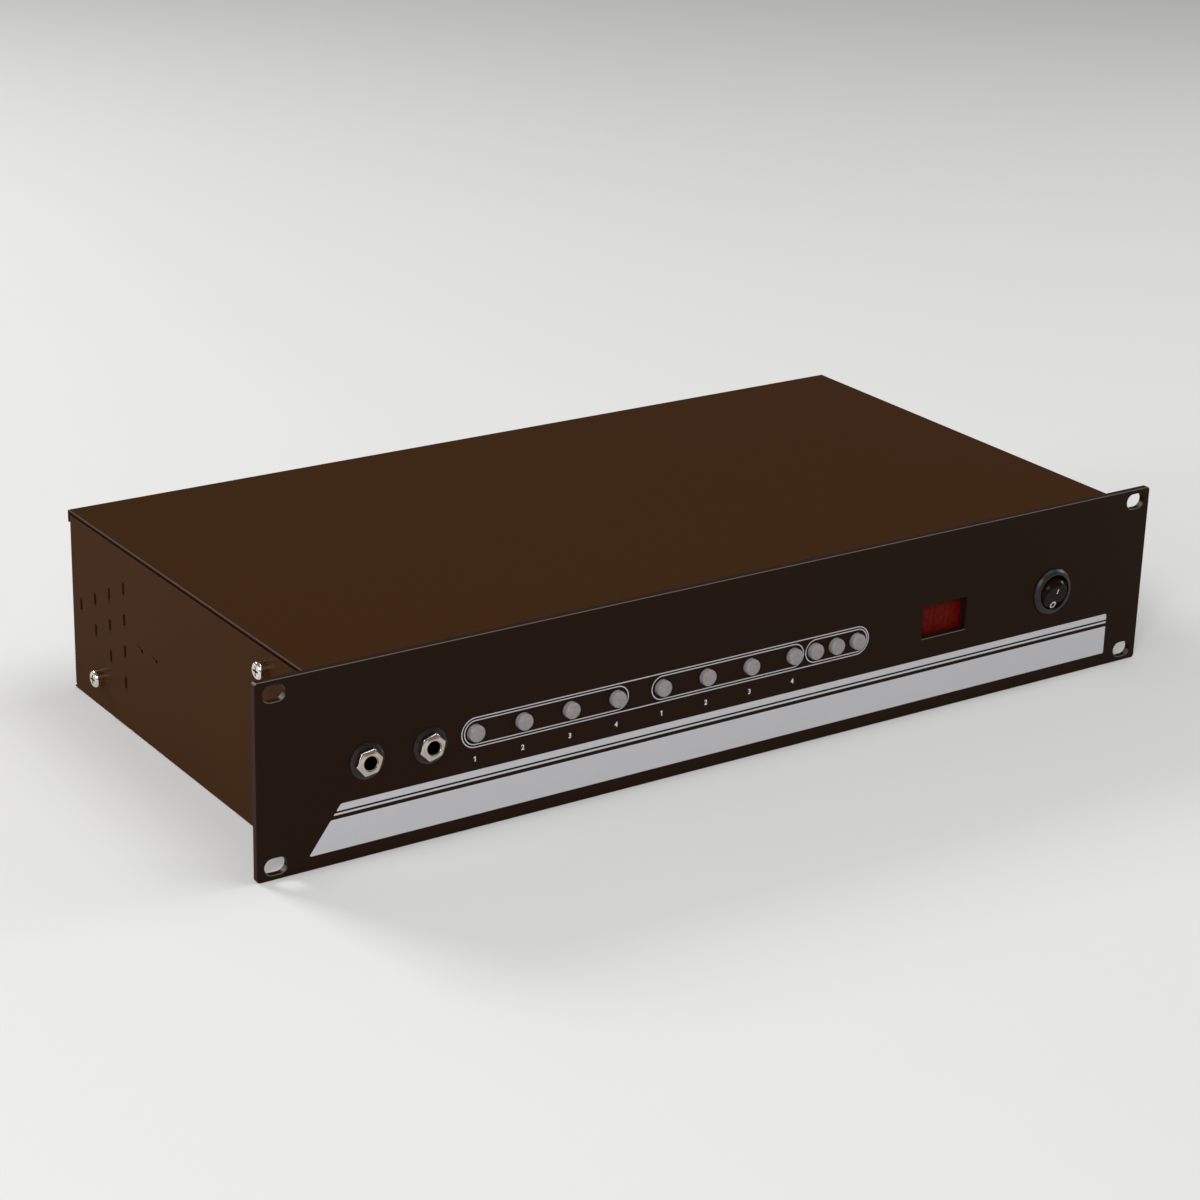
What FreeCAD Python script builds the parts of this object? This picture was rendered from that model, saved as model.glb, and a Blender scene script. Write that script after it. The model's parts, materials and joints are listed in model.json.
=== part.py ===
import FreeCAD, Part
import math
import os

# Rack-mount amp switcher, two units high. Sizes are millimetres.
# While it is built, X runs right along the panel, Y runs back from the panel's front face
# and Z runs up from the panel's bottom edge. Everything is centred in Y when it is written.

V = FreeCAD.Vector

# Front panel
PANEL_W = 482.6
PANEL_H = 88.1
PANEL_T = 3.0
PANEL_CORNER_R = 1.6
PANEL_EDGE = 0.3
SLOT_INSET_X = 8.75
SLOT_INSET_Z = 5.95
SLOT_LONG = 10.6
SLOT_HIGH = 7.4

# Case of bent sheet behind the panel, which stands out past it as ears
EAR_W = 23.6
COVER_BELOW_EDGE = 0.7
CASE_D = 221.0
SHEET = 1.2
BEND_R = 1.1
EDGE_R = 0.8
FLANGE = 14.0
LIP_H = 11.0
LIP_GAP = 0.4
COVER_LIP_H = 5.8
COVER_LIP_GAP = 0.15
CORNER_CLIP = 2.5
TAB_W = 20.0
TAB_MARGIN = 8.6
CASE_TOP = PANEL_H - COVER_BELOW_EDGE
CASE_REAR = PANEL_T + CASE_D
HALF_CASE = PANEL_W / 2 - EAR_W
INNER_X = HALF_CASE - SHEET
WALL_TOP = CASE_TOP - SHEET

# Vents in the side walls: a triangle of upright slots
VENT_W = 2.3
VENT_H = 6.7
VENT_PITCH = 15.05
VENT_FIRST_FROM_REAR = 55.1
VENT_ROWS = 4
VENT_MID_Z = 44.4

# Screws that hold the cover and the tray, one of each on each side
COVER_SCREW_Y = 36.2
COVER_SCREW_DOWN = 11.0
TRAY_SCREW_FROM_REAR = 28.5
TRAY_SCREW_Z = 15.0
M4_R = 2.0
M3_R = 1.5
HOLE_EXTRA = 0.2
THREAD_GAP = 0.05
PAN_HEAD_R = 4.0
PAN_HEAD_H = 4.2
TAB_NUT_R = 3.8
TAB_NUT_T = 2.4

# Studs on the back of the panel, through the side walls' front flanges
STUD_Z = (20.0, 68.0)
STUD_LEN = 8.0
NUT4_AF = 7.0
NUT4_T = 3.2
NUT3_AF = 5.5
NUT3_T = 2.4
REAR_SCREW_Z = (18.0, 70.0)
SMALL_HEAD_R = 2.8
SMALL_HEAD_H = 1.9

# Quarter-inch jacks
JACK_BORE_R = 3.2
JACK_BUSH_R = 4.6
JACK_HOLE_GAP = 0.2
JACK_BODY_W = 15.0
JACK_BODY_D = 20.0
JACK_BORE_END = 1.6
JACK_BODY_ROUND = 1.0
JACK_NUT_AF = 11.4
JACK_NUT_T = 1.9
JACK_BUSH_PROUD = 0.2
FRONT_JACK_X = (-190.2, -160.2)
FRONT_JACK_Z = 43.2
FRONT_NUT_TURN = (4.0, 22.0)
COLLAR_R = 8.1
COLLAR_T = 0.9
COLLAR_ROUND = 0.5
WASHER_R = 7.0
WASHER_T = 0.5
REAR_PITCH = 32.0
REAR_GROUP = 4
REAR_FIRST_FROM_WALL = 26.5
REAR_GROUP_GAP = 44.0
REAR_LOWER_EXTRA = 2
REAR_LAST_FROM_DIN = 38.0
REAR_ROW_UP = 62.0
REAR_ROW_LOW = 26.0

# Round push buttons
BUTTON_X0 = -138.3
BUTTON_PITCH = 23.9
BUTTON_ROW = 8
BUTTON_EXTRA = 3
BUTTON_Z = 44.3
CAP_R = 3.75
CAP_PROUD = 2.8
CAP_ROUND = 0.5
CAP_ROOF = 1.5
CAP_GAP = 0.25
CAP_SEAT_GAP = 0.3
CAP_FLANGE_OUT = 0.95
CAP_FLANGE_T = 1.0
CAP_FLANGE_R = CAP_R + CAP_FLANGE_OUT
SKIRT_STEP = 0.55
SKIRT_WALL = 0.8
SKIRT_R = CAP_R - SKIRT_STEP
SKIRT_BORE_R = SKIRT_R - SKIRT_WALL
SKIRT_GAP = 0.3
TRAVEL = 1.0
TRAVEL_SPARE = 0.7
SWITCH_W = 10.0
SWITCH_D = 5.0
LAMP_R = 1.5
LAMP_LEN = 4.4
LAMP_ROUND = 1.35

# Circuit board behind the panel
BOARD_T = 1.6
CONTROL_Y = 14.0
CONTROL_X = (-150.0, 140.0)
CONTROL_Z = (28.0, 62.0)
PILLAR_X = (-126.0, 84.0)
PILLAR_Z = (33.0, 57.0)
PILLAR_AF = 5.5

# Display
WINDOW_W = 26.2
WINDOW_H = 16.0
WINDOW_X = 116.9
WINDOW_Z = 44.9
DISPLAY_MARGIN = 4.0
FRAME_T = 1.7
FILTER_T = 1.6
DISPLAY_W = 30.0
DISPLAY_H = 18.0
DISPLAY_GAP = 0.2

# Round rocker switch
POWER_X = 183.0
POWER_Z = 45.5
BARREL_R = 10.0
BARREL_GAP = 0.2
BARREL_D = 22.0
BEZEL_OUT = 1.4
BEZEL_H = 2.2
BEZEL_RIM = 0.5
BEZEL_CREST_IN = 0.4
BEZEL_OPEN_IN = 1.4
BEZEL_LIP = 1.4
BEZEL_ROUND = 0.6
BARREL_WALL = 0.7
BEZEL_R = BARREL_R + BEZEL_OUT
BEZEL_CREST_R = BARREL_R - BEZEL_CREST_IN
BEZEL_OPEN_R = BARREL_R - BEZEL_OPEN_IN
CAVITY_R = BARREL_R - BARREL_WALL
CAVITY_D = 13.0
ROCKER_GAP = 0.5
ROCKER_BALL_GAP = 0.3
ROCKER_R = BEZEL_OPEN_R - ROCKER_GAP
ROCKER_BALL_R = CAVITY_R - ROCKER_BALL_GAP
ROCKER_FACE = 5.9
ROCKER_BACK = 3.2
ROCKER_ROUND = 0.35
ROCKER_TILT = 19.0
PIVOT_Y = 2.7
PIVOT_R = 1.2
PIVOT_GAP = 0.05
TONGUE = (3.0, 4.0, 7.5)
BLADE = (0.8, 4.8, 8.0)
BLADE_SPREAD = (5.0, 5.5)
BARB = (4.0, 0.9, 5.0)
BARB_ROOT = 0.3

# Mains inlet with a fuse drawer
INLET_FROM_WALL = 40.5
INLET_X = INNER_X - INLET_FROM_WALL
INLET_Z = 44.0
INLET_FLANGE = (50.0, 3.0, 34.0)
INLET_BODY = (28.0, 23.0, 31.0)
INLET_SCREW_DX = 20.0
INLET_CORNER_R = 3.0
INLET_EDGE_R = 0.6
RECESS = (24.4, 16.0, 16.6)
RECESS_UP = 6.2
RECESS_CORNER = 4.0
PIN_SIZE = (2.0, 13.0, 4.0)
PIN_TAIL = 6.0
PIN_DX = 7.0
PIN_DZ = 2.0
DRAWER_W = 24.0
DRAWER_H = 7.4
DRAWER_D = 20.0
DRAWER_DOWN = 10.2
DRAWER_GAP = 0.3
DRAWER_LIP = 1.6
DRAWER_WALL = 0.9
FUSE_R = 2.5
FUSE_LEN = 20.0
CUT_EXTRA = 0.6

# Five-way round sockets
DIN_FROM_INLET = 48.0
DIN_X = INLET_X - DIN_FROM_INLET
DIN_R = 7.5
DIN_HOLE_GAP = 0.2
DIN_PROUD = 0.8
DIN_BODY_W = 19.0
DIN_GROOVE = (5.9, 6.8)
DIN_DEPTH = 9.0
DIN_PIN_CIRCLE = 3.6
DIN_PIN_R = 0.75
DIN_PINS = 5
DIN_PIN_STEP = 45.0

# Circuit boards inside
LOW_BOARD_Z = 9.0
RELAY_BOARD_X = (-150.0, 110.0)
RELAY_BOARD_Y = (60.0, 196.0)
POWER_BOARD_Z = 20.0
POWER_BOARD_W = 54.0
POWER_BOARD_D = 85.0
POWER_BOARD_FROM_WALL = 2.5
POWER_BOARD_FROM_REAR = 34.0
POWER_BOARD_LEFT = POWER_BOARD_FROM_WALL - INNER_X
POWER_BOARD_BACK = CASE_REAR - POWER_BOARD_FROM_REAR
POWER_BOARD_X = (POWER_BOARD_LEFT, POWER_BOARD_LEFT + POWER_BOARD_W)
POWER_BOARD_Y = (POWER_BOARD_BACK - POWER_BOARD_D, POWER_BOARD_BACK)
BOARD_INSET = 6.0
BOARD_SCREW_BITE = 4.0
STANDOFF_AF = 5.5
RELAY = (19.5, 15.5, 15.0)
RELAY_COLUMNS = 6
RELAY_ROWS = 3
RELAY_PITCH_X = 36.0
RELAY_PITCH_Y = 25.0
RELAY_START = (-110.0, 92.0)
RELAY_ROUND = 0.8
CAN_R = 10.0
CAN_H = 32.0
CAN_ROUND = 1.2
CAN_COUNT = 2
CAN_GAP = 4.0
CAN_INSET = 8.0
CAN_FROM_FRONT = 20.0
RECTIFIER = (20.0, 6.0, 15.0)
RECTIFIER_INSET = 20.0
CHIP = (25.0, 7.0, 3.5)
CHIP_X = (-67.5, 32.5)
CHIP_INSET = 8.0
CONTROLLER = (20.0, 3.0, 20.0)
CONTROLLER_AT = (40.0, 44.0)

# Toroidal transformer
CORE_R = 36.0
CORE_FROM_WALL = 30.5
CORE_X = INNER_X - CORE_R - CORE_FROM_WALL
CORE_Y = 110.0
CORE_BORE_R = 12.0
CORE_H = 34.0
CORE_ROUND = 6.0
PAD_T = 1.5
CLAMP_R = 29.0
CLAMP_T = 1.5
M6_R = 3.0
NUT6_AF = 10.0
NUT6_T = 5.0

# Regulators on the left wall
REGULATOR_FROM_REAR = (85.4, 70.2)
REGULATOR_Z = 44.5
REGULATOR = (4.5, 10.0, 9.2)
REGULATOR_TAB = (1.3, 10.0, 15.6)
TAB_HOLE_DOWN = 2.8
LEG = (0.5, 0.8)
LEG_PITCH = 2.54
CSK_R = 2.8

# Ribbon cables and leads
RIBBON_W = 32.0
RIBBON_T = 0.9
RIBBON_X = -20.0
RIBBON_BEND = 8.0
HEADER = (38.0, 9.0, 9.0)
HEADER_FROM_FRONT = 14.0
HEADER_FROM_REAR = 18.0
LEAD_R = 1.3
LEAD_BEND = 12.0
LEAD_GAP = 0.25
MAINS_LANE = 8.0
MAINS_LANE_STEP = 5.0
MAINS_RISE = 8.0
SUPPLY_LANE_Z = 32.0
SUPPLY_STEP = 5.0
SUPPLY_END_STEP = 10.0

# Screw heads and nuts
PAN_ROUND_SHARE = 0.32
RECESS_ARM_SHARE = 0.2
RECESS_SPAN_SHARE = 1.1
PAN_RECESS_SHARE = 0.5
FLUSH_RECESS_SHARE = 0.6
NUT_CORNER_ANGLE = 30.0
NUT_CORNER_SHARE = 1.6
NUT_TURN_STEP = 37

# Overlap used only where a cutting tool has to pass clean through a face
PAST = 1.0


def box(x0, x1, y0, y1, z0, z1):
    return Part.makeBox(x1 - x0, y1 - y0, z1 - z0, V(x0, y0, z0))


def rod_x(y, z, radius, x0, x1):
    return Part.makeCylinder(radius, x1 - x0, V(x0, y, z), V(1, 0, 0))


def rod_y(x, z, radius, y0, y1):
    return Part.makeCylinder(radius, y1 - y0, V(x, y0, z), V(0, 1, 0))


def rod_z(x, y, radius, z0, z1):
    return Part.makeCylinder(radius, z1 - z0, V(x, y, z0), V(0, 0, 1))


def fused(pieces):
    pieces = list(pieces)
    return pieces[0].multiFuse(pieces[1:]).removeSplitter() if len(pieces) > 1 else pieces[0]


def cut_all(shape, tools):
    for tool in tools:
        shape = shape.cut(tool)
    return shape


def edges_where(shape, test):
    return [edge for edge in shape.Edges if test(edge.BoundBox)]


def rounded(shape, radius, test):
    return shape.makeFillet(radius, edges_where(shape, test))


def near(a, b):
    return abs(a - b) < 1e-4


def flat_at(low, high, value):
    return near(low, value) and near(high, value)


def flat_line(bounds):
    """Whether an edge runs straight along Y."""
    return bounds.XLength < 1e-3 and bounds.ZLength < 1e-3


def mirror_x(shape):
    return shape.mirror(V(0, 0, 0), V(1, 0, 0))


def prism(points, along):
    """A closed outline of 3-D points, pushed along a vector."""
    wire = Part.makePolygon(list(points) + [points[0]])
    return Part.Face(wire).extrude(along)


def hexagon(across_flats, height, turn=0.0):
    """A hexagonal prism standing on the origin along +Z, one corner at the angle turn."""
    radius = across_flats / math.sqrt(3)
    angles = [math.radians(turn + 60 * k) for k in range(6)]
    corners = [V(radius * math.cos(angle), radius * math.sin(angle), 0) for angle in angles]
    return prism(corners, V(0, 0, height))


def aimed(shape, base, direction):
    """Moves a shape built along +Z so that it stands on base and points along direction."""
    placed = shape.copy()
    placed.Placement = FreeCAD.Placement(base, FreeCAD.Rotation(V(0, 0, 1), direction))
    return placed


def turned(profile, x, z):
    """A closed outline of (radius, y) points, turned about the Y axis through x, z."""
    wire = Part.makePolygon([V(x + r, y, z) for r, y in profile + profile[:1]])
    return Part.Face(wire).revolve(V(x, 0, z), V(0, 1, 0), 360)


def slot_y(x, z, length, height, y0, y1):
    """A slot with round ends, long in X, cut along Y."""
    reach = (length - height) / 2
    middle = box(x - reach, x + reach, y0, y1, z - height / 2, z + height / 2)
    return fused([middle] + [rod_y(x + s * reach, z, height / 2, y0, y1) for s in (-1, 1)])


def slot_x(y, z, width, height, x0, x1):
    """A slot with round ends, tall in Z, cut along X."""
    reach = (height - width) / 2
    middle = box(x0, x1, y - width / 2, y + width / 2, z - reach, z + reach)
    return fused([middle] + [rod_x(y, z + s * reach, width / 2, x0, x1) for s in (-1, 1)])


def cross_recess(size, depth):
    """The driving cross of a screw head, with its mouth at the origin and its depth along -Z."""
    arm = size * RECESS_ARM_SHARE
    return fused(
        [
            Part.makeBox(size, arm, depth, V(-size / 2, -arm / 2, -depth)),
            Part.makeBox(arm, size, depth, V(-arm / 2, -size / 2, -depth)),
        ]
    )


def pan_screw(shank_r, shank_len, head_r, head_h):
    """A domed screw along +Z: the head's seat is at the origin and the shank points down."""
    head = Part.makeCylinder(head_r, head_h)
    head = rounded(head, head_h * PAN_ROUND_SHARE, lambda b: flat_at(b.ZMin, b.ZMax, head_h))
    shank = Part.makeCylinder(shank_r, shank_len, V(0, 0, -shank_len))
    recess = cross_recess(head_r * RECESS_SPAN_SHARE, head_h * PAN_RECESS_SHARE)
    recess.translate(V(0, 0, head_h))
    return fused([head, shank]).cut(recess)


def flush_screw(shank_r, shank_len, head_r, head_h):
    """A countersunk screw along +Z: the flat of the head is at the origin."""
    head = Part.makeCone(shank_r, head_r, head_h, V(0, 0, -head_h))
    shank = Part.makeCylinder(shank_r, shank_len, V(0, 0, -shank_len))
    recess = cross_recess(head_r * RECESS_SPAN_SHARE, head_h * FLUSH_RECESS_SHARE)
    return fused([head, shank]).cut(recess)


def hex_nut(across_flats, thickness, bore_r):
    return hexagon(across_flats, thickness).cut(Part.makeCylinder(bore_r, thickness))


def path_wire(points, bend):
    """Straight runs joined by tangent arcs of the radius bend, or what the runs leave room for."""
    edges = []
    start = points[0]
    for before, corner, after in zip(points, points[1:], points[2:]):
        come = (corner - before).normalize()
        leave = (after - corner).normalize()
        half = come.getAngle(leave) / 2
        room = 0.45 * min((corner - before).Length, (after - corner).Length)
        radius = min(bend, room / math.tan(half))
        back = radius * math.tan(half)
        first = corner - come * back
        last = corner + leave * back
        inward = (leave - come).normalize()
        centre = corner + inward * (radius / math.cos(half))
        middle = centre + (corner - centre).normalize() * radius
        edges.append(Part.makeLine(start, first))
        edges.append(Part.Arc(first, middle, last).toShape())
        start = last
    edges.append(Part.makeLine(start, points[-1]))
    return Part.Wire(edges)


def swept(points, bend, section):
    return path_wire(points, bend).makePipeShell([section], True, False)


def lead(points):
    """A round insulated wire along the points, straight at both ends."""
    circle = Part.makeCircle(LEAD_R, points[0], points[1] - points[0])
    return swept(points, LEAD_BEND, Part.Wire([circle]))


def front_panel():
    plate = box(-PANEL_W / 2, PANEL_W / 2, 0, PANEL_T, 0, PANEL_H)
    plate = rounded(plate, PANEL_CORNER_R, lambda b: near(b.YLength, PANEL_T) and flat_line(b))
    slot_x_out = PANEL_W / 2 - SLOT_INSET_X
    openings = [
        slot_y(side * slot_x_out, z, SLOT_LONG, SLOT_HIGH, -PAST, PANEL_T + PAST)
        for side in (-1, 1)
        for z in (SLOT_INSET_Z, PANEL_H - SLOT_INSET_Z)
    ]
    openings.append(around_window(0, -PAST, PANEL_T + PAST))
    plate = cut_all(plate, openings)
    plate = plate.makeChamfer(PANEL_EDGE, edges_where(plate, lambda b: flat_at(b.YMin, b.YMax, 0)))
    holes = [(x, FRONT_JACK_Z, JACK_BUSH_R + JACK_HOLE_GAP) for x in FRONT_JACK_X]
    holes += [(x, BUTTON_Z, CAP_R + CAP_GAP) for x in button_places()]
    holes.append((POWER_X, POWER_Z, BARREL_R + BARREL_GAP))
    return cut_all(plate, [rod_y(x, z, radius, -PAST, PANEL_T + PAST) for x, z, radius in holes])


def button_places():
    row = [BUTTON_X0 + BUTTON_PITCH * k for k in range(BUTTON_ROW)]
    extra = [row[-1] + BUTTON_PITCH / 2 * (k + 1) for k in range(BUTTON_EXTRA)]
    return row + extra


def vent_places():
    """Columns of slots that lose one slot at each step towards the rear."""
    places = []
    for column in range(VENT_ROWS):
        y = CASE_REAR - VENT_FIRST_FROM_REAR + VENT_PITCH * column
        count = VENT_ROWS - column
        for k in range(count):
            places.append((y, VENT_MID_Z + VENT_PITCH * (k - (count - 1) / 2)))
    return places


def cover_screw_z():
    return CASE_TOP - COVER_SCREW_DOWN


def tray_screw_y():
    return CASE_REAR - TRAY_SCREW_FROM_REAR


def side_screw_places():
    return [(COVER_SCREW_Y, cover_screw_z()), (tray_screw_y(), TRAY_SCREW_Z)]


def stud_x():
    return HALF_CASE - FLANGE / 2


def plain_side_wall():
    """The left wall: a sheet with a flange bent inwards at its front and at its rear."""
    wall = box(-HALF_CASE, -INNER_X, PANEL_T, CASE_REAR, SHEET, WALL_TOP)
    front = box(-HALF_CASE, -HALF_CASE + FLANGE, PANEL_T, PANEL_T + SHEET, SHEET, WALL_TOP)
    rear = box(-HALF_CASE, -HALF_CASE + FLANGE, CASE_REAR - SHEET, CASE_REAR, SHEET, WALL_TOP)
    wall = fused([wall, front, rear])
    wall = rounded(
        wall,
        BEND_R,
        lambda b: flat_at(b.XMin, b.XMax, -HALF_CASE) and b.ZLength > PANEL_H / 2,
    )
    clip = prism(
        [
            V(-HALF_CASE - PAST, CASE_REAR + PAST, SHEET + CORNER_CLIP + PAST),
            V(-HALF_CASE - PAST, CASE_REAR - CORNER_CLIP - PAST, SHEET - PAST),
            V(-HALF_CASE - PAST, CASE_REAR + PAST, SHEET - PAST),
        ],
        V(FLANGE + 2 * PAST, 0, 0),
    )
    x0 = -HALF_CASE - PAST
    x1 = -INNER_X + PAST
    front_end = PANEL_T + SHEET + PAST
    rear_start = CASE_REAR - SHEET - PAST
    tools = [clip]
    tools += [slot_x(y, z, VENT_W, VENT_H, x0, x1) for y, z in vent_places()]
    tools += [rod_x(y, z, M4_R + HOLE_EXTRA, x0, x1) for y, z in side_screw_places()]
    tools += [rod_y(-stud_x(), z, M4_R + HOLE_EXTRA, PANEL_T - PAST, front_end) for z in STUD_Z]
    tools += [rod_y(-stud_x(), z, M3_R + HOLE_EXTRA, rear_start, CASE_REAR + PAST) for z in REAR_SCREW_Z]
    return cut_all(wall, tools)


def regulator_y():
    return [CASE_REAR - back for back in REGULATOR_FROM_REAR]


def side_wall_left():
    sink = Part.makeCone(CSK_R + THREAD_GAP, M3_R + THREAD_GAP, SHEET)
    sinks = [aimed(sink, V(-HALF_CASE, y, REGULATOR_Z), V(1, 0, 0)) for y in regulator_y()]
    return cut_all(plain_side_wall(), sinks)


def side_tabs(y, z0, z1, hole_z):
    """A tab inside each side wall, and the tool for the screw hole in it."""
    tabs = []
    for x0, x1 in ((-INNER_X, -INNER_X + SHEET), (INNER_X - SHEET, INNER_X)):
        tab = box(x0, x1, y - TAB_W / 2, y + TAB_W / 2, z0, z1)
        tabs.append((tab, rod_x(y, hole_z, M4_R + HOLE_EXTRA, x0 - PAST, x1 + PAST)))
    return tabs


def bottom_tray():
    plate = box(-HALF_CASE, HALF_CASE, PANEL_T, CASE_REAR, 0, SHEET)
    plate = rounded(
        plate,
        EDGE_R,
        lambda b: flat_at(b.ZMin, b.ZMax, 0) and b.YLength > CASE_D / 2,
    )
    lip_x = HALF_CASE - FLANGE - LIP_GAP
    rear_lip = CASE_REAR - 3 * SHEET
    pieces = [
        plate,
        box(-lip_x, lip_x, PANEL_T, PANEL_T + SHEET, 0, LIP_H),
        box(-lip_x, lip_x, rear_lip, rear_lip + SHEET, 0, LIP_H),
    ]
    tools = []
    for tab, hole in side_tabs(tray_screw_y(), 0, TRAY_SCREW_Z + TAB_MARGIN, TRAY_SCREW_Z):
        pieces.append(tab)
        tools.append(hole)
    tools += [rod_z(x, y, M3_R + HOLE_EXTRA, -PAST, SHEET + PAST) for x, y, z in standoff_places()]
    tools.append(rod_z(CORE_X, CORE_Y, M6_R + HOLE_EXTRA, -PAST, SHEET + PAST))
    return cut_all(fused(pieces), tools)


def top_cover():
    lip_face = CASE_REAR + COVER_LIP_GAP
    plate = box(-HALF_CASE, HALF_CASE, PANEL_T, lip_face + SHEET, WALL_TOP, CASE_TOP)
    lip = box(-HALF_CASE, HALF_CASE, lip_face, lip_face + SHEET, CASE_TOP - COVER_LIP_H, CASE_TOP)
    cover = fused([plate, lip])
    rear = lip_face + SHEET
    cover = rounded(
        cover,
        EDGE_R,
        lambda b: flat_at(b.ZMin, b.ZMax, CASE_TOP) and (b.YLength > CASE_D / 2 or near(b.YMin, rear)),
    )
    pieces = [cover]
    tools = []
    for tab, hole in side_tabs(COVER_SCREW_Y, cover_screw_z() - TAB_MARGIN, WALL_TOP, cover_screw_z()):
        pieces.append(tab)
        tools.append(hole)
    return cut_all(fused(pieces), tools)


def rear_columns():
    """Two groups of evenly spaced columns, with a wider gap between the groups."""
    first = REAR_FIRST_FROM_WALL - INNER_X
    left = [first + REAR_PITCH * k for k in range(REAR_GROUP)]
    return left, [left[-1] + REAR_GROUP_GAP + REAR_PITCH * k for k in range(REAR_GROUP)]


def jack_places_upper():
    left, right = rear_columns()
    return [(x, REAR_ROW_UP) for x in left + right]


def jack_places_lower():
    left, right = rear_columns()
    columns = left + right[:REAR_LOWER_EXTRA] + [DIN_X - REAR_LAST_FROM_DIN]
    return [(x, REAR_ROW_LOW) for x in columns]


def rear_face():
    return CASE_REAR - SHEET


def rear_panel():
    half_w = INNER_X - THREAD_GAP
    plate = box(-half_w, half_w, rear_face() - SHEET, rear_face(), SHEET, WALL_TOP)
    y0 = rear_face() - SHEET - PAST
    y1 = rear_face() + PAST
    jacks = jack_places_upper() + jack_places_lower()
    tools = [rod_y(x, z, JACK_BUSH_R + JACK_HOLE_GAP, y0, y1) for x, z in jacks]
    tools += [rod_y(DIN_X, z, DIN_R + DIN_HOLE_GAP, y0, y1) for z in (REAR_ROW_UP, REAR_ROW_LOW)]
    tools += [rod_y(x, z, M3_R + THREAD_GAP, y0, y1) for x, z in rear_screw_places()]
    tools += [rod_y(x, INLET_Z, M3_R + THREAD_GAP, y0, y1) for x in inlet_screw_x()]
    half_w = (INLET_BODY[0] + CUT_EXTRA) / 2
    half_h = (INLET_BODY[2] + CUT_EXTRA) / 2
    tools.append(box(INLET_X - half_w, INLET_X + half_w, y0, y1, INLET_Z - half_h, INLET_Z + half_h))
    return cut_all(plate, tools)


def cover_screws():
    screws = []
    for side in (-1, 1):
        for y, z in side_screw_places():
            screw = pan_screw(M4_R, 2 * SHEET + TAB_NUT_T + PAST, PAN_HEAD_R, PAN_HEAD_H)
            screws.append(aimed(screw, V(side * HALF_CASE, y, z), V(side, 0, 0)))
    return screws


def tab_nuts():
    nuts = []
    for side in (-1, 1):
        for y, z in side_screw_places():
            nut = Part.makeCylinder(TAB_NUT_R, TAB_NUT_T)
            nut = nut.cut(Part.makeCylinder(M4_R + THREAD_GAP, TAB_NUT_T))
            nuts.append(aimed(nut, V(side * (INNER_X - SHEET), y, z), V(-side, 0, 0)))
    return nuts


def rear_screw_places():
    return [(side * stud_x(), z) for side in (-1, 1) for z in REAR_SCREW_Z]


def rear_screws():
    screw = pan_screw(M3_R, 2 * SHEET + PAST, SMALL_HEAD_R, SMALL_HEAD_H)
    return [aimed(screw, V(x, CASE_REAR, z), V(0, 1, 0)) for x, z in rear_screw_places()]


def stud_places():
    return [(side * stud_x(), z) for side in (-1, 1) for z in STUD_Z]


def panel_studs():
    return [rod_y(x, z, M4_R, PANEL_T, PANEL_T + STUD_LEN) for x, z in stud_places()]


def panel_nuts():
    nut = hex_nut(NUT4_AF, NUT4_T, M4_R + THREAD_GAP)
    return [aimed(nut, V(x, PANEL_T + SHEET, z), V(0, 1, 0)) for x, z in stud_places()]


def jack(x, z, seat, out, bush_len):
    """A jack: its block lies inside the seat plane, its threaded bush passes outwards."""
    half = JACK_BODY_W / 2
    low, high = sorted((seat, seat - out * JACK_BODY_D))
    block = box(x - half, x + half, low, high, z - half, z + half)
    block = rounded(block, JACK_BODY_ROUND, lambda b: b.YLength > JACK_BODY_D / 2)
    low, high = sorted((seat, seat + out * bush_len))
    bush = rod_y(x, z, JACK_BUSH_R, low, high)
    low, high = sorted((seat - out * (JACK_BODY_D - JACK_BORE_END), seat + out * (bush_len + PAST)))
    return fused([block, bush]).cut(rod_y(x, z, JACK_BORE_R, low, high))


def front_bush_len():
    return PANEL_T + COLLAR_T + JACK_NUT_T + JACK_BUSH_PROUD


def rear_bush_len():
    return SHEET + WASHER_T + JACK_NUT_T + JACK_BUSH_PROUD


def front_jacks():
    return [jack(x, FRONT_JACK_Z, PANEL_T, -1, front_bush_len()) for x in FRONT_JACK_X]


def jack_collars():
    collars = []
    for x in FRONT_JACK_X:
        collar = rod_y(x, FRONT_JACK_Z, COLLAR_R, -COLLAR_T, 0)
        collar = rounded(collar, COLLAR_ROUND, lambda b: flat_at(b.YMin, b.YMax, -COLLAR_T))
        hole = rod_y(x, FRONT_JACK_Z, JACK_BUSH_R + JACK_HOLE_GAP, -COLLAR_T - PAST, PAST)
        collars.append(collar.cut(hole))
    return collars


def jack_nut(turn):
    """A nut whose outer corners are turned off by a cone."""
    nut = hexagon(JACK_NUT_AF, JACK_NUT_T, turn)
    corner = JACK_NUT_AF / math.sqrt(3)
    slope = math.tan(math.radians(NUT_CORNER_ANGLE))
    drop = (corner - JACK_NUT_AF / 2) * slope * NUT_CORNER_SHARE
    cone = Part.makeCone(corner + (JACK_NUT_T - drop) / slope, corner - drop / slope, JACK_NUT_T)
    return nut.common(cone).cut(Part.makeCylinder(JACK_BUSH_R + THREAD_GAP, JACK_NUT_T))


def front_jack_nuts():
    return [
        aimed(jack_nut(turn), V(x, -COLLAR_T, FRONT_JACK_Z), V(0, -1, 0))
        for x, turn in zip(FRONT_JACK_X, FRONT_NUT_TURN)
    ]


def rear_jacks_upper():
    return [jack(x, z, rear_face() - SHEET, 1, rear_bush_len()) for x, z in jack_places_upper()]


def rear_jacks_lower():
    return [jack(x, z, rear_face() - SHEET, 1, rear_bush_len()) for x, z in jack_places_lower()]


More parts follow.
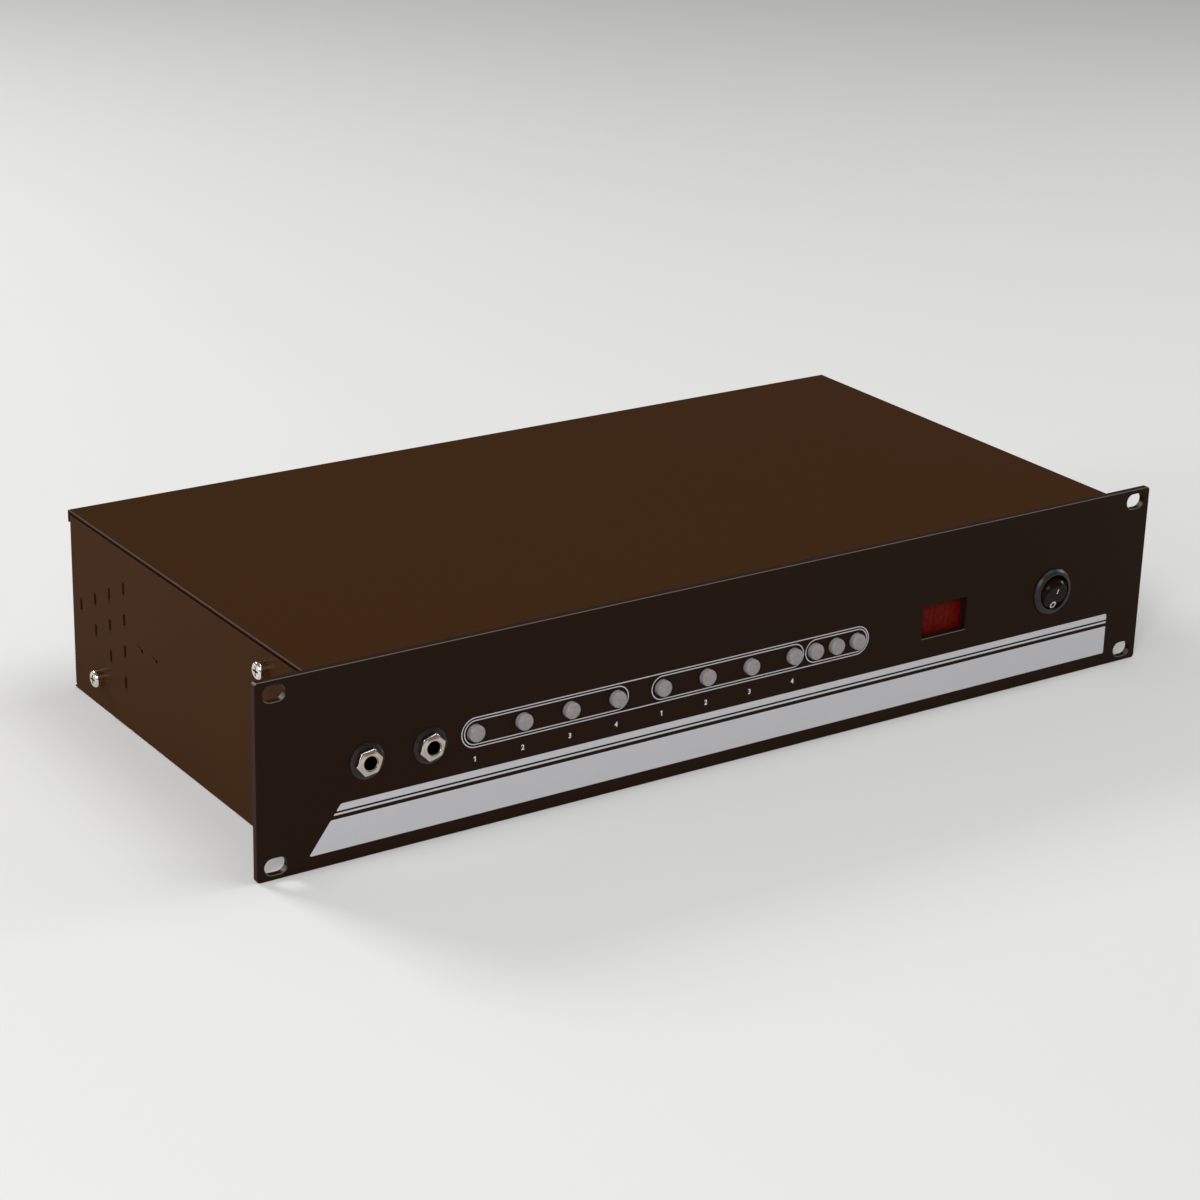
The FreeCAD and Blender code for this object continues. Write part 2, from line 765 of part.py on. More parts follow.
def rear_jack_nuts():
    """A washer and a nut on each rear jack, each nut turned a little differently."""
    pieces = []
    seat = rear_face()
    for k, (x, z) in enumerate(jack_places_upper() + jack_places_lower()):
        washer = rod_y(x, z, WASHER_R, seat, seat + WASHER_T)
        pieces.append(washer.cut(rod_y(x, z, JACK_BUSH_R + THREAD_GAP, seat - PAST, seat + PAST)))
        nut = jack_nut((k * NUT_TURN_STEP) % 60)
        pieces.append(aimed(nut, V(x, seat + WASHER_T, z), V(0, 1, 0)))
    return pieces


def switch_front():
    return CONTROL_Y - SWITCH_D


def skirt_end():
    return switch_front() + TRAVEL


def button_cap(x):
    """A hollow cap with a collar behind the panel and a skirt down to its switch."""
    collar = PANEL_T + CAP_SEAT_GAP
    cap = turned(
        [
            (0, -CAP_PROUD),
            (CAP_R, -CAP_PROUD),
            (CAP_R, collar),
            (CAP_FLANGE_R, collar),
            (CAP_FLANGE_R, collar + CAP_FLANGE_T),
            (SKIRT_R, collar + CAP_FLANGE_T),
            (SKIRT_R, skirt_end()),
            (SKIRT_BORE_R, skirt_end()),
            (SKIRT_BORE_R, CAP_ROOF - CAP_PROUD),
            (0, CAP_ROOF - CAP_PROUD),
        ],
        x,
        BUTTON_Z,
    )
    return rounded(cap, CAP_ROUND, lambda b: flat_at(b.YMin, b.YMax, -CAP_PROUD) and b.XLength > CAP_R)


def button_switches():
    """A square switch under each cap, with a round well for the skirt and a post in it."""
    switches = []
    floor = skirt_end() + TRAVEL + TRAVEL_SPARE
    for x in button_places():
        half = SWITCH_W / 2
        block = box(x - half, x + half, switch_front(), CONTROL_Y, BUTTON_Z - half, BUTTON_Z + half)
        well = rod_y(x, BUTTON_Z, SKIRT_R + SKIRT_GAP, switch_front() - PAST, floor)
        post = rod_y(x, BUTTON_Z, SKIRT_BORE_R - SKIRT_GAP, switch_front(), floor)
        switches.append(block.cut(well.cut(post)))
    return switches


def button_lamps():
    lamps = []
    tip = switch_front() - LAMP_LEN
    for x in button_places():
        lamp = rod_y(x, BUTTON_Z, LAMP_R, tip, switch_front())
        lamps.append(rounded(lamp, LAMP_ROUND, lambda b: flat_at(b.YMin, b.YMax, tip)))
    return lamps


def pillar_places():
    return [(x, z) for x in PILLAR_X for z in PILLAR_Z]


def control_board():
    board = box(*CONTROL_X, CONTROL_Y, CONTROL_Y + BOARD_T, *CONTROL_Z)
    y0 = CONTROL_Y - PAST
    y1 = CONTROL_Y + BOARD_T + PAST
    return cut_all(board, [rod_y(x, z, M3_R + HOLE_EXTRA, y0, y1) for x, z in pillar_places()])


def board_pillars():
    pillar = hex_nut(PILLAR_AF, CONTROL_Y - PANEL_T, M3_R + THREAD_GAP)
    return [aimed(pillar, V(x, PANEL_T, z), V(0, 1, 0)) for x, z in pillar_places()]


def around_window(margin, y0, y1):
    half_w = WINDOW_W / 2 + margin
    half_h = WINDOW_H / 2 + margin
    return box(WINDOW_X - half_w, WINDOW_X + half_w, y0, y1, WINDOW_Z - half_h, WINDOW_Z + half_h)


def display_frame():
    outer = around_window(DISPLAY_MARGIN, PANEL_T, PANEL_T + FRAME_T)
    return outer.cut(around_window(0, PANEL_T - PAST, PANEL_T + FRAME_T + PAST))


def display_filter():
    front = PANEL_T + FRAME_T
    return around_window(DISPLAY_MARGIN, front, front + FILTER_T)


def digit_display():
    front = PANEL_T + FRAME_T + FILTER_T + DISPLAY_GAP
    return box(
        WINDOW_X - DISPLAY_W / 2,
        WINDOW_X + DISPLAY_W / 2,
        front,
        CONTROL_Y,
        WINDOW_Z - DISPLAY_H / 2,
        WINDOW_Z + DISPLAY_H / 2,
    )


def power_switch_body():
    """A turned bezel and barrel with an open well for the rocker, and two snap barbs."""
    body = turned(
        [
            (BEZEL_OPEN_R, -BEZEL_H),
            (BEZEL_CREST_R, -BEZEL_H),
            (BEZEL_R, -BEZEL_RIM),
            (BEZEL_R, 0),
            (BARREL_R, 0),
            (BARREL_R, BARREL_D),
            (0, BARREL_D),
            (0, CAVITY_D),
            (CAVITY_R, CAVITY_D),
            (CAVITY_R, BEZEL_LIP - BEZEL_H),
            (BEZEL_OPEN_R, BEZEL_LIP - BEZEL_H),
        ],
        POWER_X,
        POWER_Z,
    )
    crest = BEZEL_CREST_R + BEZEL_OPEN_R
    body = rounded(
        body,
        BEZEL_ROUND,
        lambda b: flat_at(b.YMin, b.YMax, -BEZEL_H) and b.XLength > crest,
    )
    barbs = []
    width, proud, length = BARB
    front = PANEL_T + THREAD_GAP
    for side in (-1, 1):
        inner = POWER_X + side * (BARREL_R - BARB_ROOT)
        outline = [
            V(inner, front, POWER_Z - width / 2),
            V(POWER_X + side * (BARREL_R + proud), front, POWER_Z - width / 2),
            V(inner, front + length, POWER_Z - width / 2),
        ]
        barbs.append(prism(outline, V(0, 0, width)))
    reach = BARREL_R + PAST
    pivots = rod_x(PIVOT_Y, POWER_Z, PIVOT_R + PIVOT_GAP, POWER_X - reach, POWER_X + reach)
    return fused([body] + barbs).cut(pivots)


def power_rocker():
    """A round rocker whose sides lie on a ball about its pivot, stored with its lower end pressed."""
    disc = rod_y(POWER_X, POWER_Z, ROCKER_R, PIVOT_Y - ROCKER_FACE, PIVOT_Y + ROCKER_BACK)
    ball = Part.makeSphere(ROCKER_BALL_R, V(POWER_X, PIVOT_Y, POWER_Z))
    rocker = disc.common(ball)
    face = PIVOT_Y - ROCKER_FACE
    rocker = rounded(rocker, ROCKER_ROUND, lambda b: flat_at(b.YMin, b.YMax, face))
    pins = rod_x(PIVOT_Y, POWER_Z, PIVOT_R, POWER_X - BARREL_R, POWER_X + BARREL_R)
    half_x = TONGUE[0] / 2
    half_z = TONGUE[1] / 2
    y1 = PIVOT_Y + TONGUE[2]
    tongue = box(POWER_X - half_x, POWER_X + half_x, PIVOT_Y, y1, POWER_Z - half_z, POWER_Z + half_z)
    rocker = fused([rocker, pins, tongue])
    rocker.rotate(V(POWER_X, PIVOT_Y, POWER_Z), V(1, 0, 0), ROCKER_TILT)
    return rocker


def power_switch_blades():
    thick, wide, length = BLADE
    blades = []
    for sx in (-1, 1):
        for sz in (-1, 1):
            x = POWER_X + sx * BLADE_SPREAD[0]
            z = POWER_Z + sz * BLADE_SPREAD[1]
            blades.append(flat_pin(x, z, thick, wide, BARREL_D, BARREL_D + length))
    return blades


def flat_pin(x, z, thick, wide, y0, y1):
    return box(x - thick / 2, x + thick / 2, y0, y1, z - wide / 2, z + wide / 2)


def recess_outline(y):
    """The inlet's recess: a rectangle whose two upper corners are cut off."""
    half_w = RECESS[0] / 2
    half_h = RECESS[2] / 2
    z = INLET_Z + RECESS_UP
    return [
        V(INLET_X - half_w, y, z - half_h),
        V(INLET_X + half_w, y, z - half_h),
        V(INLET_X + half_w, y, z + half_h - RECESS_CORNER),
        V(INLET_X + half_w - RECESS_CORNER, y, z + half_h),
        V(INLET_X - half_w + RECESS_CORNER, y, z + half_h),
        V(INLET_X - half_w, y, z + half_h - RECESS_CORNER),
    ]


def pin_places():
    z = INLET_Z + RECESS_UP
    return [(INLET_X - PIN_DX, z - PIN_DZ), (INLET_X + PIN_DX, z - PIN_DZ), (INLET_X, z + PIN_DZ)]


def inlet_face():
    return rear_face() + INLET_FLANGE[1]


def inlet_screw_x():
    return [INLET_X - INLET_SCREW_DX, INLET_X + INLET_SCREW_DX]


def inlet_back():
    return inlet_face() - INLET_BODY[1] - INLET_FLANGE[1]


def mains_inlet():
    width, _, height = INLET_FLANGE
    flange = flat_pin(INLET_X, INLET_Z, width, height, rear_face(), inlet_face())
    flange = rounded(flange, INLET_CORNER_R, lambda b: near(b.YLength, INLET_FLANGE[1]) and flat_line(b))
    flange = rounded(flange, INLET_EDGE_R, lambda b: flat_at(b.YMin, b.YMax, inlet_face()))
    body = flat_pin(INLET_X, INLET_Z, INLET_BODY[0], INLET_BODY[2], inlet_back(), rear_face())
    recess = prism(recess_outline(inlet_face() + PAST), V(0, -RECESS[1] - PAST, 0))
    drawer_hole = drawer_box(DRAWER_GAP, inlet_face() - DRAWER_D - DRAWER_GAP, inlet_face() + PAST)
    tools = [recess, drawer_hole]
    sink = Part.makeCone(CSK_R + HOLE_EXTRA, M3_R + HOLE_EXTRA, SMALL_HEAD_H)
    for x in inlet_screw_x():
        tools.append(aimed(sink, V(x, inlet_face(), INLET_Z), V(0, -1, 0)))
        tools.append(rod_y(x, INLET_Z, M3_R + HOLE_EXTRA, rear_face() - PAST, inlet_face()))
    thick, _, wide = PIN_SIZE
    for x, z in pin_places():
        tools.append(flat_pin(x, z, thick, wide, inlet_back() - PAST, inlet_face() - RECESS[1] + PAST))
    return cut_all(fused([flange, body]), tools)


def inlet_pins():
    """Three flat pins, each from the recess through the body to a tail behind it."""
    thick, length, wide = PIN_SIZE
    tail = inlet_back() - PIN_TAIL
    tip = inlet_face() - RECESS[1] + length
    gap = 2 * THREAD_GAP
    return [flat_pin(x, z, thick - gap, wide - gap, tail, tip) for x, z in pin_places()]


def inlet_screws():
    screw = flush_screw(M3_R, INLET_FLANGE[1] + SHEET + PAST, CSK_R, SMALL_HEAD_H)
    return [aimed(screw, V(x, inlet_face(), INLET_Z), V(0, 1, 0)) for x in inlet_screw_x()]


def drawer_box(extra, y0, y1):
    z = INLET_Z - DRAWER_DOWN
    half_w = DRAWER_W / 2 + extra
    half_h = DRAWER_H / 2 + extra
    return box(INLET_X - half_w, INLET_X + half_w, y0, y1, z - half_h, z + half_h)


def fuse_drawer():
    """A drawer with a trough for one fuse across it and a finger lip in front."""
    z = INLET_Z - DRAWER_DOWN
    front = inlet_face() + DRAWER_LIP
    drawer = drawer_box(0, inlet_face() - DRAWER_D, front)
    half_w = FUSE_LEN / 2 + DRAWER_GAP
    floor = z - FUSE_R - DRAWER_GAP
    y_mid = inlet_face() - DRAWER_D / 2
    reach = FUSE_R + DRAWER_GAP
    trough = box(INLET_X - half_w, INLET_X + half_w, y_mid - reach, y_mid + reach, floor, z + DRAWER_H)
    half_grip = DRAWER_W / 4
    grip_end = front - DRAWER_WALL
    grip = box(INLET_X - half_grip, INLET_X + half_grip, inlet_face(), grip_end, z, z + DRAWER_H)
    return drawer.cut(trough).cut(grip)


def fuse():
    y = inlet_face() - DRAWER_D / 2
    z = INLET_Z - DRAWER_DOWN
    return rod_x(y, z, FUSE_R, INLET_X - FUSE_LEN / 2, INLET_X + FUSE_LEN / 2)


def din_sockets():
    """Two round sockets, each a body with a recess for the plug's shell and a core with five contact holes."""
    solids = []
    face = rear_face() + DIN_PROUD
    seat = rear_face() - SHEET
    floor = face - DIN_DEPTH
    half = DIN_BODY_W / 2
    for z in (REAR_ROW_UP, REAR_ROW_LOW):
        block = box(DIN_X - half, DIN_X + half, seat - JACK_BODY_D, seat, z - half, z + half)
        body = fused([block, rod_y(DIN_X, z, DIN_R, seat, face)])
        recess = rod_y(DIN_X, z, DIN_GROOVE[1], floor, face + PAST)
        core = rod_y(DIN_X, z, DIN_GROOVE[0], floor, face - DIN_PROUD)
        holes = []
        for k in range(DIN_PINS):
            angle = math.radians(DIN_PIN_STEP * k)
            hole_x = DIN_X + DIN_PIN_CIRCLE * math.cos(angle)
            hole_z = z + DIN_PIN_CIRCLE * math.sin(angle)
            holes.append(rod_y(hole_x, hole_z, DIN_PIN_R, floor - PAST, face))
        solids += [body.cut(recess), cut_all(core, holes)]
    return solids


def jack_board_face():
    return rear_face() - SHEET - JACK_BODY_D


def jack_board():
    """The upright board that carries the rear jacks and the round sockets."""
    edge = BOARD_INSET + JACK_BODY_W / 2
    return box(
        rear_columns()[0][0] - edge,
        DIN_X + edge,
        jack_board_face() - BOARD_T,
        jack_board_face(),
        REAR_ROW_LOW - edge,
        REAR_ROW_UP + edge,
    )


def corners_of(span_x, span_y, inset):
    sides = (span_x[0] + inset, span_x[1] - inset)
    ends = (span_y[0] + inset, span_y[1] - inset)
    return [(x, y) for x in sides for y in ends]


def standoff_places():
    """Each support's x and y, and the height of the underside of the board on it."""
    low = corners_of(RELAY_BOARD_X, RELAY_BOARD_Y, BOARD_INSET)
    middle = sum(RELAY_BOARD_X) / 2
    low += [(middle, RELAY_BOARD_Y[0] + BOARD_INSET), (middle, RELAY_BOARD_Y[1] - BOARD_INSET)]
    high = corners_of(POWER_BOARD_X, POWER_BOARD_Y, BOARD_INSET)
    return [(x, y, LOW_BOARD_Z) for x, y in low] + [(x, y, POWER_BOARD_Z) for x, y in high]


def standoffs():
    """Hexagonal supports, each with a round foot pressed through the tray."""
    supports = []
    for x, y, top in standoff_places():
        body = hexagon(STANDOFF_AF, top - SHEET)
        body.translate(V(x, y, SHEET))
        foot = rod_z(x, y, M3_R + HOLE_EXTRA - THREAD_GAP, 0, SHEET)
        supports.append(fused([body, foot]).cut(rod_z(x, y, M3_R + THREAD_GAP, SHEET + PAST, top + PAST)))
    return supports


def holed_board(span_x, span_y, z):
    board = box(*span_x, *span_y, z, z + BOARD_T)
    z0 = z - PAST
    z1 = z + BOARD_T + PAST
    holes = [rod_z(x, y, M3_R + HOLE_EXTRA, z0, z1) for x, y, top in standoff_places() if top == z]
    return cut_all(board, holes)


def board_screws():
    screw = pan_screw(M3_R, BOARD_T + BOARD_SCREW_BITE, SMALL_HEAD_R, SMALL_HEAD_H)
    upright = [aimed(screw, V(x, y, top + BOARD_T), V(0, 0, 1)) for x, y, top in standoff_places()]
    facing_back = [aimed(screw, V(x, CONTROL_Y + BOARD_T, z), V(0, 1, 0)) for x, z in pillar_places()]
    return upright + facing_back


def relays():
    blocks = []
    base = LOW_BOARD_Z + BOARD_T
    for column in range(RELAY_COLUMNS):
        for row in range(RELAY_ROWS):
            x = RELAY_START[0] + RELAY_PITCH_X * column
            y = RELAY_START[1] + RELAY_PITCH_Y * row
            block = standing(x, y, base, RELAY)
            blocks.append(rounded(block, RELAY_ROUND, lambda b: flat_at(b.ZMin, b.ZMax, base + RELAY[2])))
    return blocks


def standing(x, y, base, size):
    """A block of the given width, depth and height, centred on x, y and standing on base."""
    width, depth, height = size
    return box(x - width / 2, x + width / 2, y - depth / 2, y + depth / 2, base, base + height)


def power_capacitors():
    base = POWER_BOARD_Z + BOARD_T
    x = POWER_BOARD_X[1] - CAN_R - CAN_INSET
    cans = []
    for k in range(CAN_COUNT):
        y = POWER_BOARD_Y[0] + CAN_FROM_FRONT + (2 * CAN_R + CAN_GAP) * k
        can = rod_z(x, y, CAN_R, base, base + CAN_H)
        cans.append(rounded(can, CAN_ROUND, lambda b: flat_at(b.ZMin, b.ZMax, base + CAN_H)))
    return cans


def board_chips():
    """The bridge rectifier, two logic chips on the relay board and the controller behind the panel."""
    rectifier_y = POWER_BOARD_Y[1] - RECTIFIER_INSET - RECTIFIER[1] / 2
    rectifier = standing(sum(POWER_BOARD_X) / 2, rectifier_y, POWER_BOARD_Z + BOARD_T, RECTIFIER)
    chip_y = RELAY_BOARD_Y[0] + CHIP_INSET + CHIP[1] / 2
    chips = [standing(x, chip_y, LOW_BOARD_Z + BOARD_T, CHIP) for x in CHIP_X]
    x, z = CONTROLLER_AT
    _, depth, height = CONTROLLER
    back = CONTROL_Y + BOARD_T
    controller = standing(x, back + depth / 2, z - height / 2, CONTROLLER)
    return [rectifier] + chips + [controller]


def core_base():
    return SHEET + PAD_T


def transformer():
    core = rod_z(CORE_X, CORE_Y, CORE_R, core_base(), core_base() + CORE_H)
    core = core.cut(rod_z(CORE_X, CORE_Y, CORE_BORE_R, core_base() - PAST, core_base() + CORE_H + PAST))
    return rounded(core, CORE_ROUND, lambda b: b.XLength > CORE_R and b.ZLength < 1e-3)


def transformer_pads():
    pads = []
    for z in (SHEET, core_base() + CORE_H):
        pad = rod_z(CORE_X, CORE_Y, CLAMP_R, z, z + PAD_T)
        pads.append(pad.cut(rod_z(CORE_X, CORE_Y, M6_R + HOLE_EXTRA, z - PAST, z + PAD_T + PAST)))
    return pads


def transformer_clamp():
    """The clamp plate, the stud pressed into the tray and its nut."""
    z = core_base() + CORE_H + PAD_T
    plate = rod_z(CORE_X, CORE_Y, CLAMP_R, z, z + CLAMP_T)
    plate = plate.cut(rod_z(CORE_X, CORE_Y, M6_R + HOLE_EXTRA, z - PAST, z + CLAMP_T + PAST))
    nut = hex_nut(NUT6_AF, NUT6_T, M6_R + THREAD_GAP)
    nut.translate(V(CORE_X, CORE_Y, z + CLAMP_T))
    stud = rod_z(CORE_X, CORE_Y, M6_R, 0, z + CLAMP_T + NUT6_T + PAST)
    return [plate, stud, nut]


def regulators():
    """Two flat regulators against the left wall, each with three legs down to the board."""
    pieces = []
    depth = REGULATOR[0]
    tab_t, _, tab_h = REGULATOR_TAB
    bottom = REGULATOR_Z + TAB_HOLE_DOWN - tab_h
    x = -INNER_X
    board_top = POWER_BOARD_Z + BOARD_T
    leg = (*LEG, bottom - board_top)
    for y in regulator_y():
        tab = standing(x + tab_t / 2, y, bottom, REGULATOR_TAB)
        block = standing(x + depth / 2, y, bottom, REGULATOR)
        legs = [standing(x + depth / 2, y + k * LEG_PITCH, board_top, leg) for k in (-1, 0, 1)]
        piece = fused([tab, block] + legs)
        pieces.append(piece.cut(rod_x(y, REGULATOR_Z, M3_R + HOLE_EXTRA, x - PAST, x + tab_t + PAST)))
    return pieces


def regulator_screws():
    """A flush screw from outside the wall and a nut on each regulator's tab."""
    pieces = []
    length = SHEET + REGULATOR_TAB[0] + NUT3_T + PAST
    for y in regulator_y():
        screw = flush_screw(M3_R, length, CSK_R, SHEET)
        pieces.append(aimed(screw, V(-HALF_CASE, y, REGULATOR_Z), V(-1, 0, 0)))
        nut = hex_nut(NUT3_AF, NUT3_T, M3_R + THREAD_GAP)
        pieces.append(aimed(nut, V(-INNER_X + REGULATOR_TAB[0], y, REGULATOR_Z), V(1, 0, 0)))
    return pieces


def header(x, y0, y1, z0, z1):
    return box(x - HEADER[0] / 2, x + HEADER[0] / 2, y0, y1, z0, z1)


def low_header_places():
    """The y of the two ribbon connectors on the relay board."""
    return RELAY_BOARD_Y[0] + HEADER_FROM_FRONT, RELAY_BOARD_Y[1] - HEADER_FROM_REAR


def board_connectors():
    """Two ribbon connectors on the relay board, one behind the panel and one on the jack board."""
    low = LOW_BOARD_Z + BOARD_T
    half = HEADER[1] / 2
    back = CONTROL_Y + BOARD_T
    mid_z = sum(CONTROL_Z) / 2
    upright = jack_board_face() - BOARD_T
    up_z = (REAR_ROW_UP + REAR_ROW_LOW) / 2
    pieces = [header(RIBBON_X, y - half, y + half, low, low + HEADER[2]) for y in low_header_places()]
    pieces.append(header(RIBBON_X, back, back + HEADER[2], mid_z - half, mid_z + half))
    pieces.append(header(RIBBON_X, upright - HEADER[2], upright, up_z - half, up_z + half))
    return pieces


def ribbon(points):
    """A flat cable along points in the YZ plane."""
    start = points[0]
    along = (points[1] - start).normalize()
    across = V(1, 0, 0)
    thick = along.cross(across)
    corners = [
        start + across * (sx * RIBBON_W / 2) + thick * (sz * RIBBON_T / 2)
        for sx, sz in ((-1, -1), (1, -1), (1, 1), (-1, 1))
    ]
    return swept(points, RIBBON_BEND, Part.makePolygon(corners + corners[:1]))


def ribbon_cables():
    low = LOW_BOARD_Z + BOARD_T + HEADER[2]
    front_y, rear_y = low_header_places()
    mid_z = sum(CONTROL_Z) / 2
    up_z = (REAR_ROW_UP + REAR_ROW_LOW) / 2
    x = RIBBON_X
    front_start = CONTROL_Y + BOARD_T + HEADER[2]
    rear_start = jack_board_face() - BOARD_T - HEADER[2]
    return [
        ribbon([V(x, front_start, mid_z), V(x, front_y, mid_z), V(x, front_y, low)]),
        ribbon([V(x, rear_start, up_z), V(x, rear_y, up_z), V(x, rear_y, low)]),
    ]


def lead_wires():
    """Mains leads along the right wall, and supply leads from the transformer to the power board."""
    wires = []
    for k, (pin_x, pin_z) in enumerate(pin_places()[:2]):
        start = inlet_back() - PIN_TAIL
        z = pin_z + MAINS_RISE * k
        lane = INNER_X - MAINS_LANE - MAINS_LANE_STEP * k
        blade_x = POWER_X + BLADE_SPREAD[0]
        blade_z = POWER_Z + (2 * k - 1) * BLADE_SPREAD[1]
        tip = BARREL_D + BLADE[2]
        wires.append(
            lead(
                [
                    V(pin_x, start, pin_z),
                    V(pin_x, start - 12, pin_z),
                    V(lane, start - 30, z),
                    V(lane, tip + 30, z),
                    V(blade_x, tip + 14, blade_z),
                    V(blade_x, tip, blade_z),
                ]
            )
        )
    for k in range(2):
        shift = SUPPLY_STEP * k
        lane_z = SUPPLY_LANE_Z
        lane_y = RELAY_BOARD_Y[0] - 8 + shift
        board_top = POWER_BOARD_Z + BOARD_T
        exit_x = CORE_X - math.sqrt(CORE_R**2 - shift**2) - LEAD_GAP
        end_x = POWER_BOARD_X[1] - 24 + SUPPLY_END_STEP * k
        end_y = POWER_BOARD_Y[0] + 6
        wires.append(
            lead(
                [
                    V(exit_x, CORE_Y + shift, core_base() + CORE_H / 2),
                    V(exit_x - 16 - shift, CORE_Y + shift, core_base() + CORE_H / 2),
                    V(exit_x - 20 - shift, CORE_Y - 25 + shift, lane_z),
                    V(exit_x - 50, lane_y, lane_z),
                    V(end_x + 40, lane_y, lane_z),
                    V(end_x, end_y - 20, lane_z),
                    V(end_x, end_y, lane_z - 2),
                    V(end_x, end_y, board_top),
                ]
            )
        )
    return wires


def button_names():
    groups = [("amp_button", 4), ("cab_button", 4)]
    names = [f"{name}_{k + 1}" for name, count in groups for k in range(count)]
    return names + [f"mode_button_{k + 1}" for k in range(BUTTON_EXTRA)]


def build():
    nodes = {
        "front_panel": front_panel(),
        "side_wall_left": side_wall_left(),
        "side_wall_right": mirror_x(plain_side_wall()),
        "bottom_tray": bottom_tray(),
        "top_cover": top_cover(),
        "rear_panel": rear_panel(),
        "cover_screws": cover_screws(),
        "tab_nuts": tab_nuts(),
        "rear_screws": rear_screws(),
        "panel_studs": panel_studs(),
        "panel_nuts": panel_nuts(),
        "jack_collars": jack_collars(),
        "front_jack_nuts": front_jack_nuts(),
        "front_jacks": front_jacks(),
        "button_switches": button_switches(),
        "button_lamps": button_lamps(),
        "control_board": control_board(),
        "board_pillars": board_pillars(),
        "display_frame": display_frame(),
        "display_filter": display_filter(),
        "digit_display": digit_display(),
        "power_switch_body": power_switch_body(),
        "power_rocker": power_rocker(),
        "power_switch_blades": power_switch_blades(),
        "mains_inlet": mains_inlet(),
        "inlet_pins": inlet_pins(),
        "inlet_screws": inlet_screws(),
        "fuse_drawer": fuse_drawer(),
        "fuse": fuse(),
        "rear_jacks_upper": rear_jacks_upper(),
        "rear_jacks_lower": rear_jacks_lower(),
        "rear_jack_nuts": rear_jack_nuts(),
        "din_sockets": din_sockets(),
        "jack_board": jack_board(),
        "relay_board": holed_board(RELAY_BOARD_X, RELAY_BOARD_Y, LOW_BOARD_Z),
        "relays": relays(),
        "standoffs": standoffs(),
        "board_screws": board_screws(),
        "board_connectors": board_connectors(),
        "ribbon_cables": ribbon_cables(),
        "transformer": transformer(),
        "transformer_pads": transformer_pads(),
        "transformer_clamp": transformer_clamp(),
        "regulators": regulators(),
        "regulator_screws": regulator_screws(),
        "power_board": holed_board(POWER_BOARD_X, POWER_BOARD_Y, POWER_BOARD_Z),
        "power_capacitors": power_capacitors(),
        "board_chips": board_chips(),
        "lead_wires": lead_wires(),
    }
    for name, x in zip(button_names(), button_places()):
        nodes[name] = button_cap(x)
    return nodes


def as_shape(node):
    return Part.makeCompound(node) if isinstance(node, list) else node


def middle_y(nodes):
    """Half way between the frontmost and the rearmost point of the whole object."""
    whole = Part.makeCompound([as_shape(node) for node in nodes.values()])
    bounds = whole.optimalBoundingBox(False, False)
    return (bounds.YMin + bounds.YMax) / 2


def main():
    os.makedirs("parts", exist_ok=True)
    nodes = build()
    shift = middle_y(nodes)
    print("panel face at y", -shift)
    for name, node in nodes.items():
        shape = as_shape(node)
        shape.translate(V(0, -shift, 0))
        if not shape.isValid():
            print("not valid:", name)
        shape.exportStep(f"parts/{name}.step")
    print(len(nodes), "nodes")


main()
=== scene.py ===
import json
import math

import bpy
import bmesh
from mathutils import Matrix, Vector


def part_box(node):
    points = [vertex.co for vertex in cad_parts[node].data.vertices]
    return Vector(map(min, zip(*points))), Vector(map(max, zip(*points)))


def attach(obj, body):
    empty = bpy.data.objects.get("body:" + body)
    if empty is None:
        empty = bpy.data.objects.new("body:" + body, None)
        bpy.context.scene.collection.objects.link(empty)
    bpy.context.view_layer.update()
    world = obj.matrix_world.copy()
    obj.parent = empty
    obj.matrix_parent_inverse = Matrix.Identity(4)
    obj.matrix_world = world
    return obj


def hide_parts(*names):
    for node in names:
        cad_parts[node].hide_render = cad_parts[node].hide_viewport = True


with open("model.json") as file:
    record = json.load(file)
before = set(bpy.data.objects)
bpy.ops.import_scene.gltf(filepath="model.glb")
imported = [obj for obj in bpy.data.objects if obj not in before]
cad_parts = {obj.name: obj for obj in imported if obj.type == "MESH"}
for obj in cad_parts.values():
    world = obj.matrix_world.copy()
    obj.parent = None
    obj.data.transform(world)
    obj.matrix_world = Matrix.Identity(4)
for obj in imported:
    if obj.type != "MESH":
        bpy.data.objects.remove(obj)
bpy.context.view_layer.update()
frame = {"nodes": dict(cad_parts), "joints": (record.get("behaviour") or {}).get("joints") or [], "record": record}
NODES = frame["nodes"]
MM = 0.001

# The outer faces of the front and rear panels
FACE_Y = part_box("front_panel")[0].y
REAR_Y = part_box("rear_panel")[1].y

# The buttons from left to right: those of the first two groups have numbers
GROUP = 4
NUMBERED = [f"{kind}_button_{k + 1}" for kind in ("amp", "cab") for k in range(GROUP)]
BUTTONS = NUMBERED + [f"mode_button_{k + 1}" for k in range(3)]

# The camera of the photograph: angles in degrees, lens in millimetres on a 36 mm sensor
CAMERA_AT = (-749.6 * MM, FACE_Y - 974.7 * MM, 551.5 * MM)
CAMERA_AZIMUTH = 34.61
CAMERA_DOWN = 21.22
CAMERA_ROLL = 1.69
CAMERA_LENS = 90.16
CAMERA_SENSOR = 36.0

# Thickness of printed ink, and how far its back stands off the paint
INK = 0.03 * MM
INK_LIFT = 0.005 * MM


def middle(node):
    low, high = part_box(node)
    return (low + high) / 2


def srgb(r, g, b):
    """A colour as it reads on a screen, from 0 to 255, as linear light."""
    return tuple((c / 255) ** 2.2 for c in (r, g, b)) + (1.0,)


# Materials: grains are in features per metre, bump depths in metres

# Where most of a noise's values lie
NOISE_MIDDLE = (0.3, 0.7)
# The heights of the normal over which the painted highlight on upward-leaning edges starts and ends
EDGE_HIGHLIGHT_SPAN = ((0.25, 0.5), (0.85, 0.97))


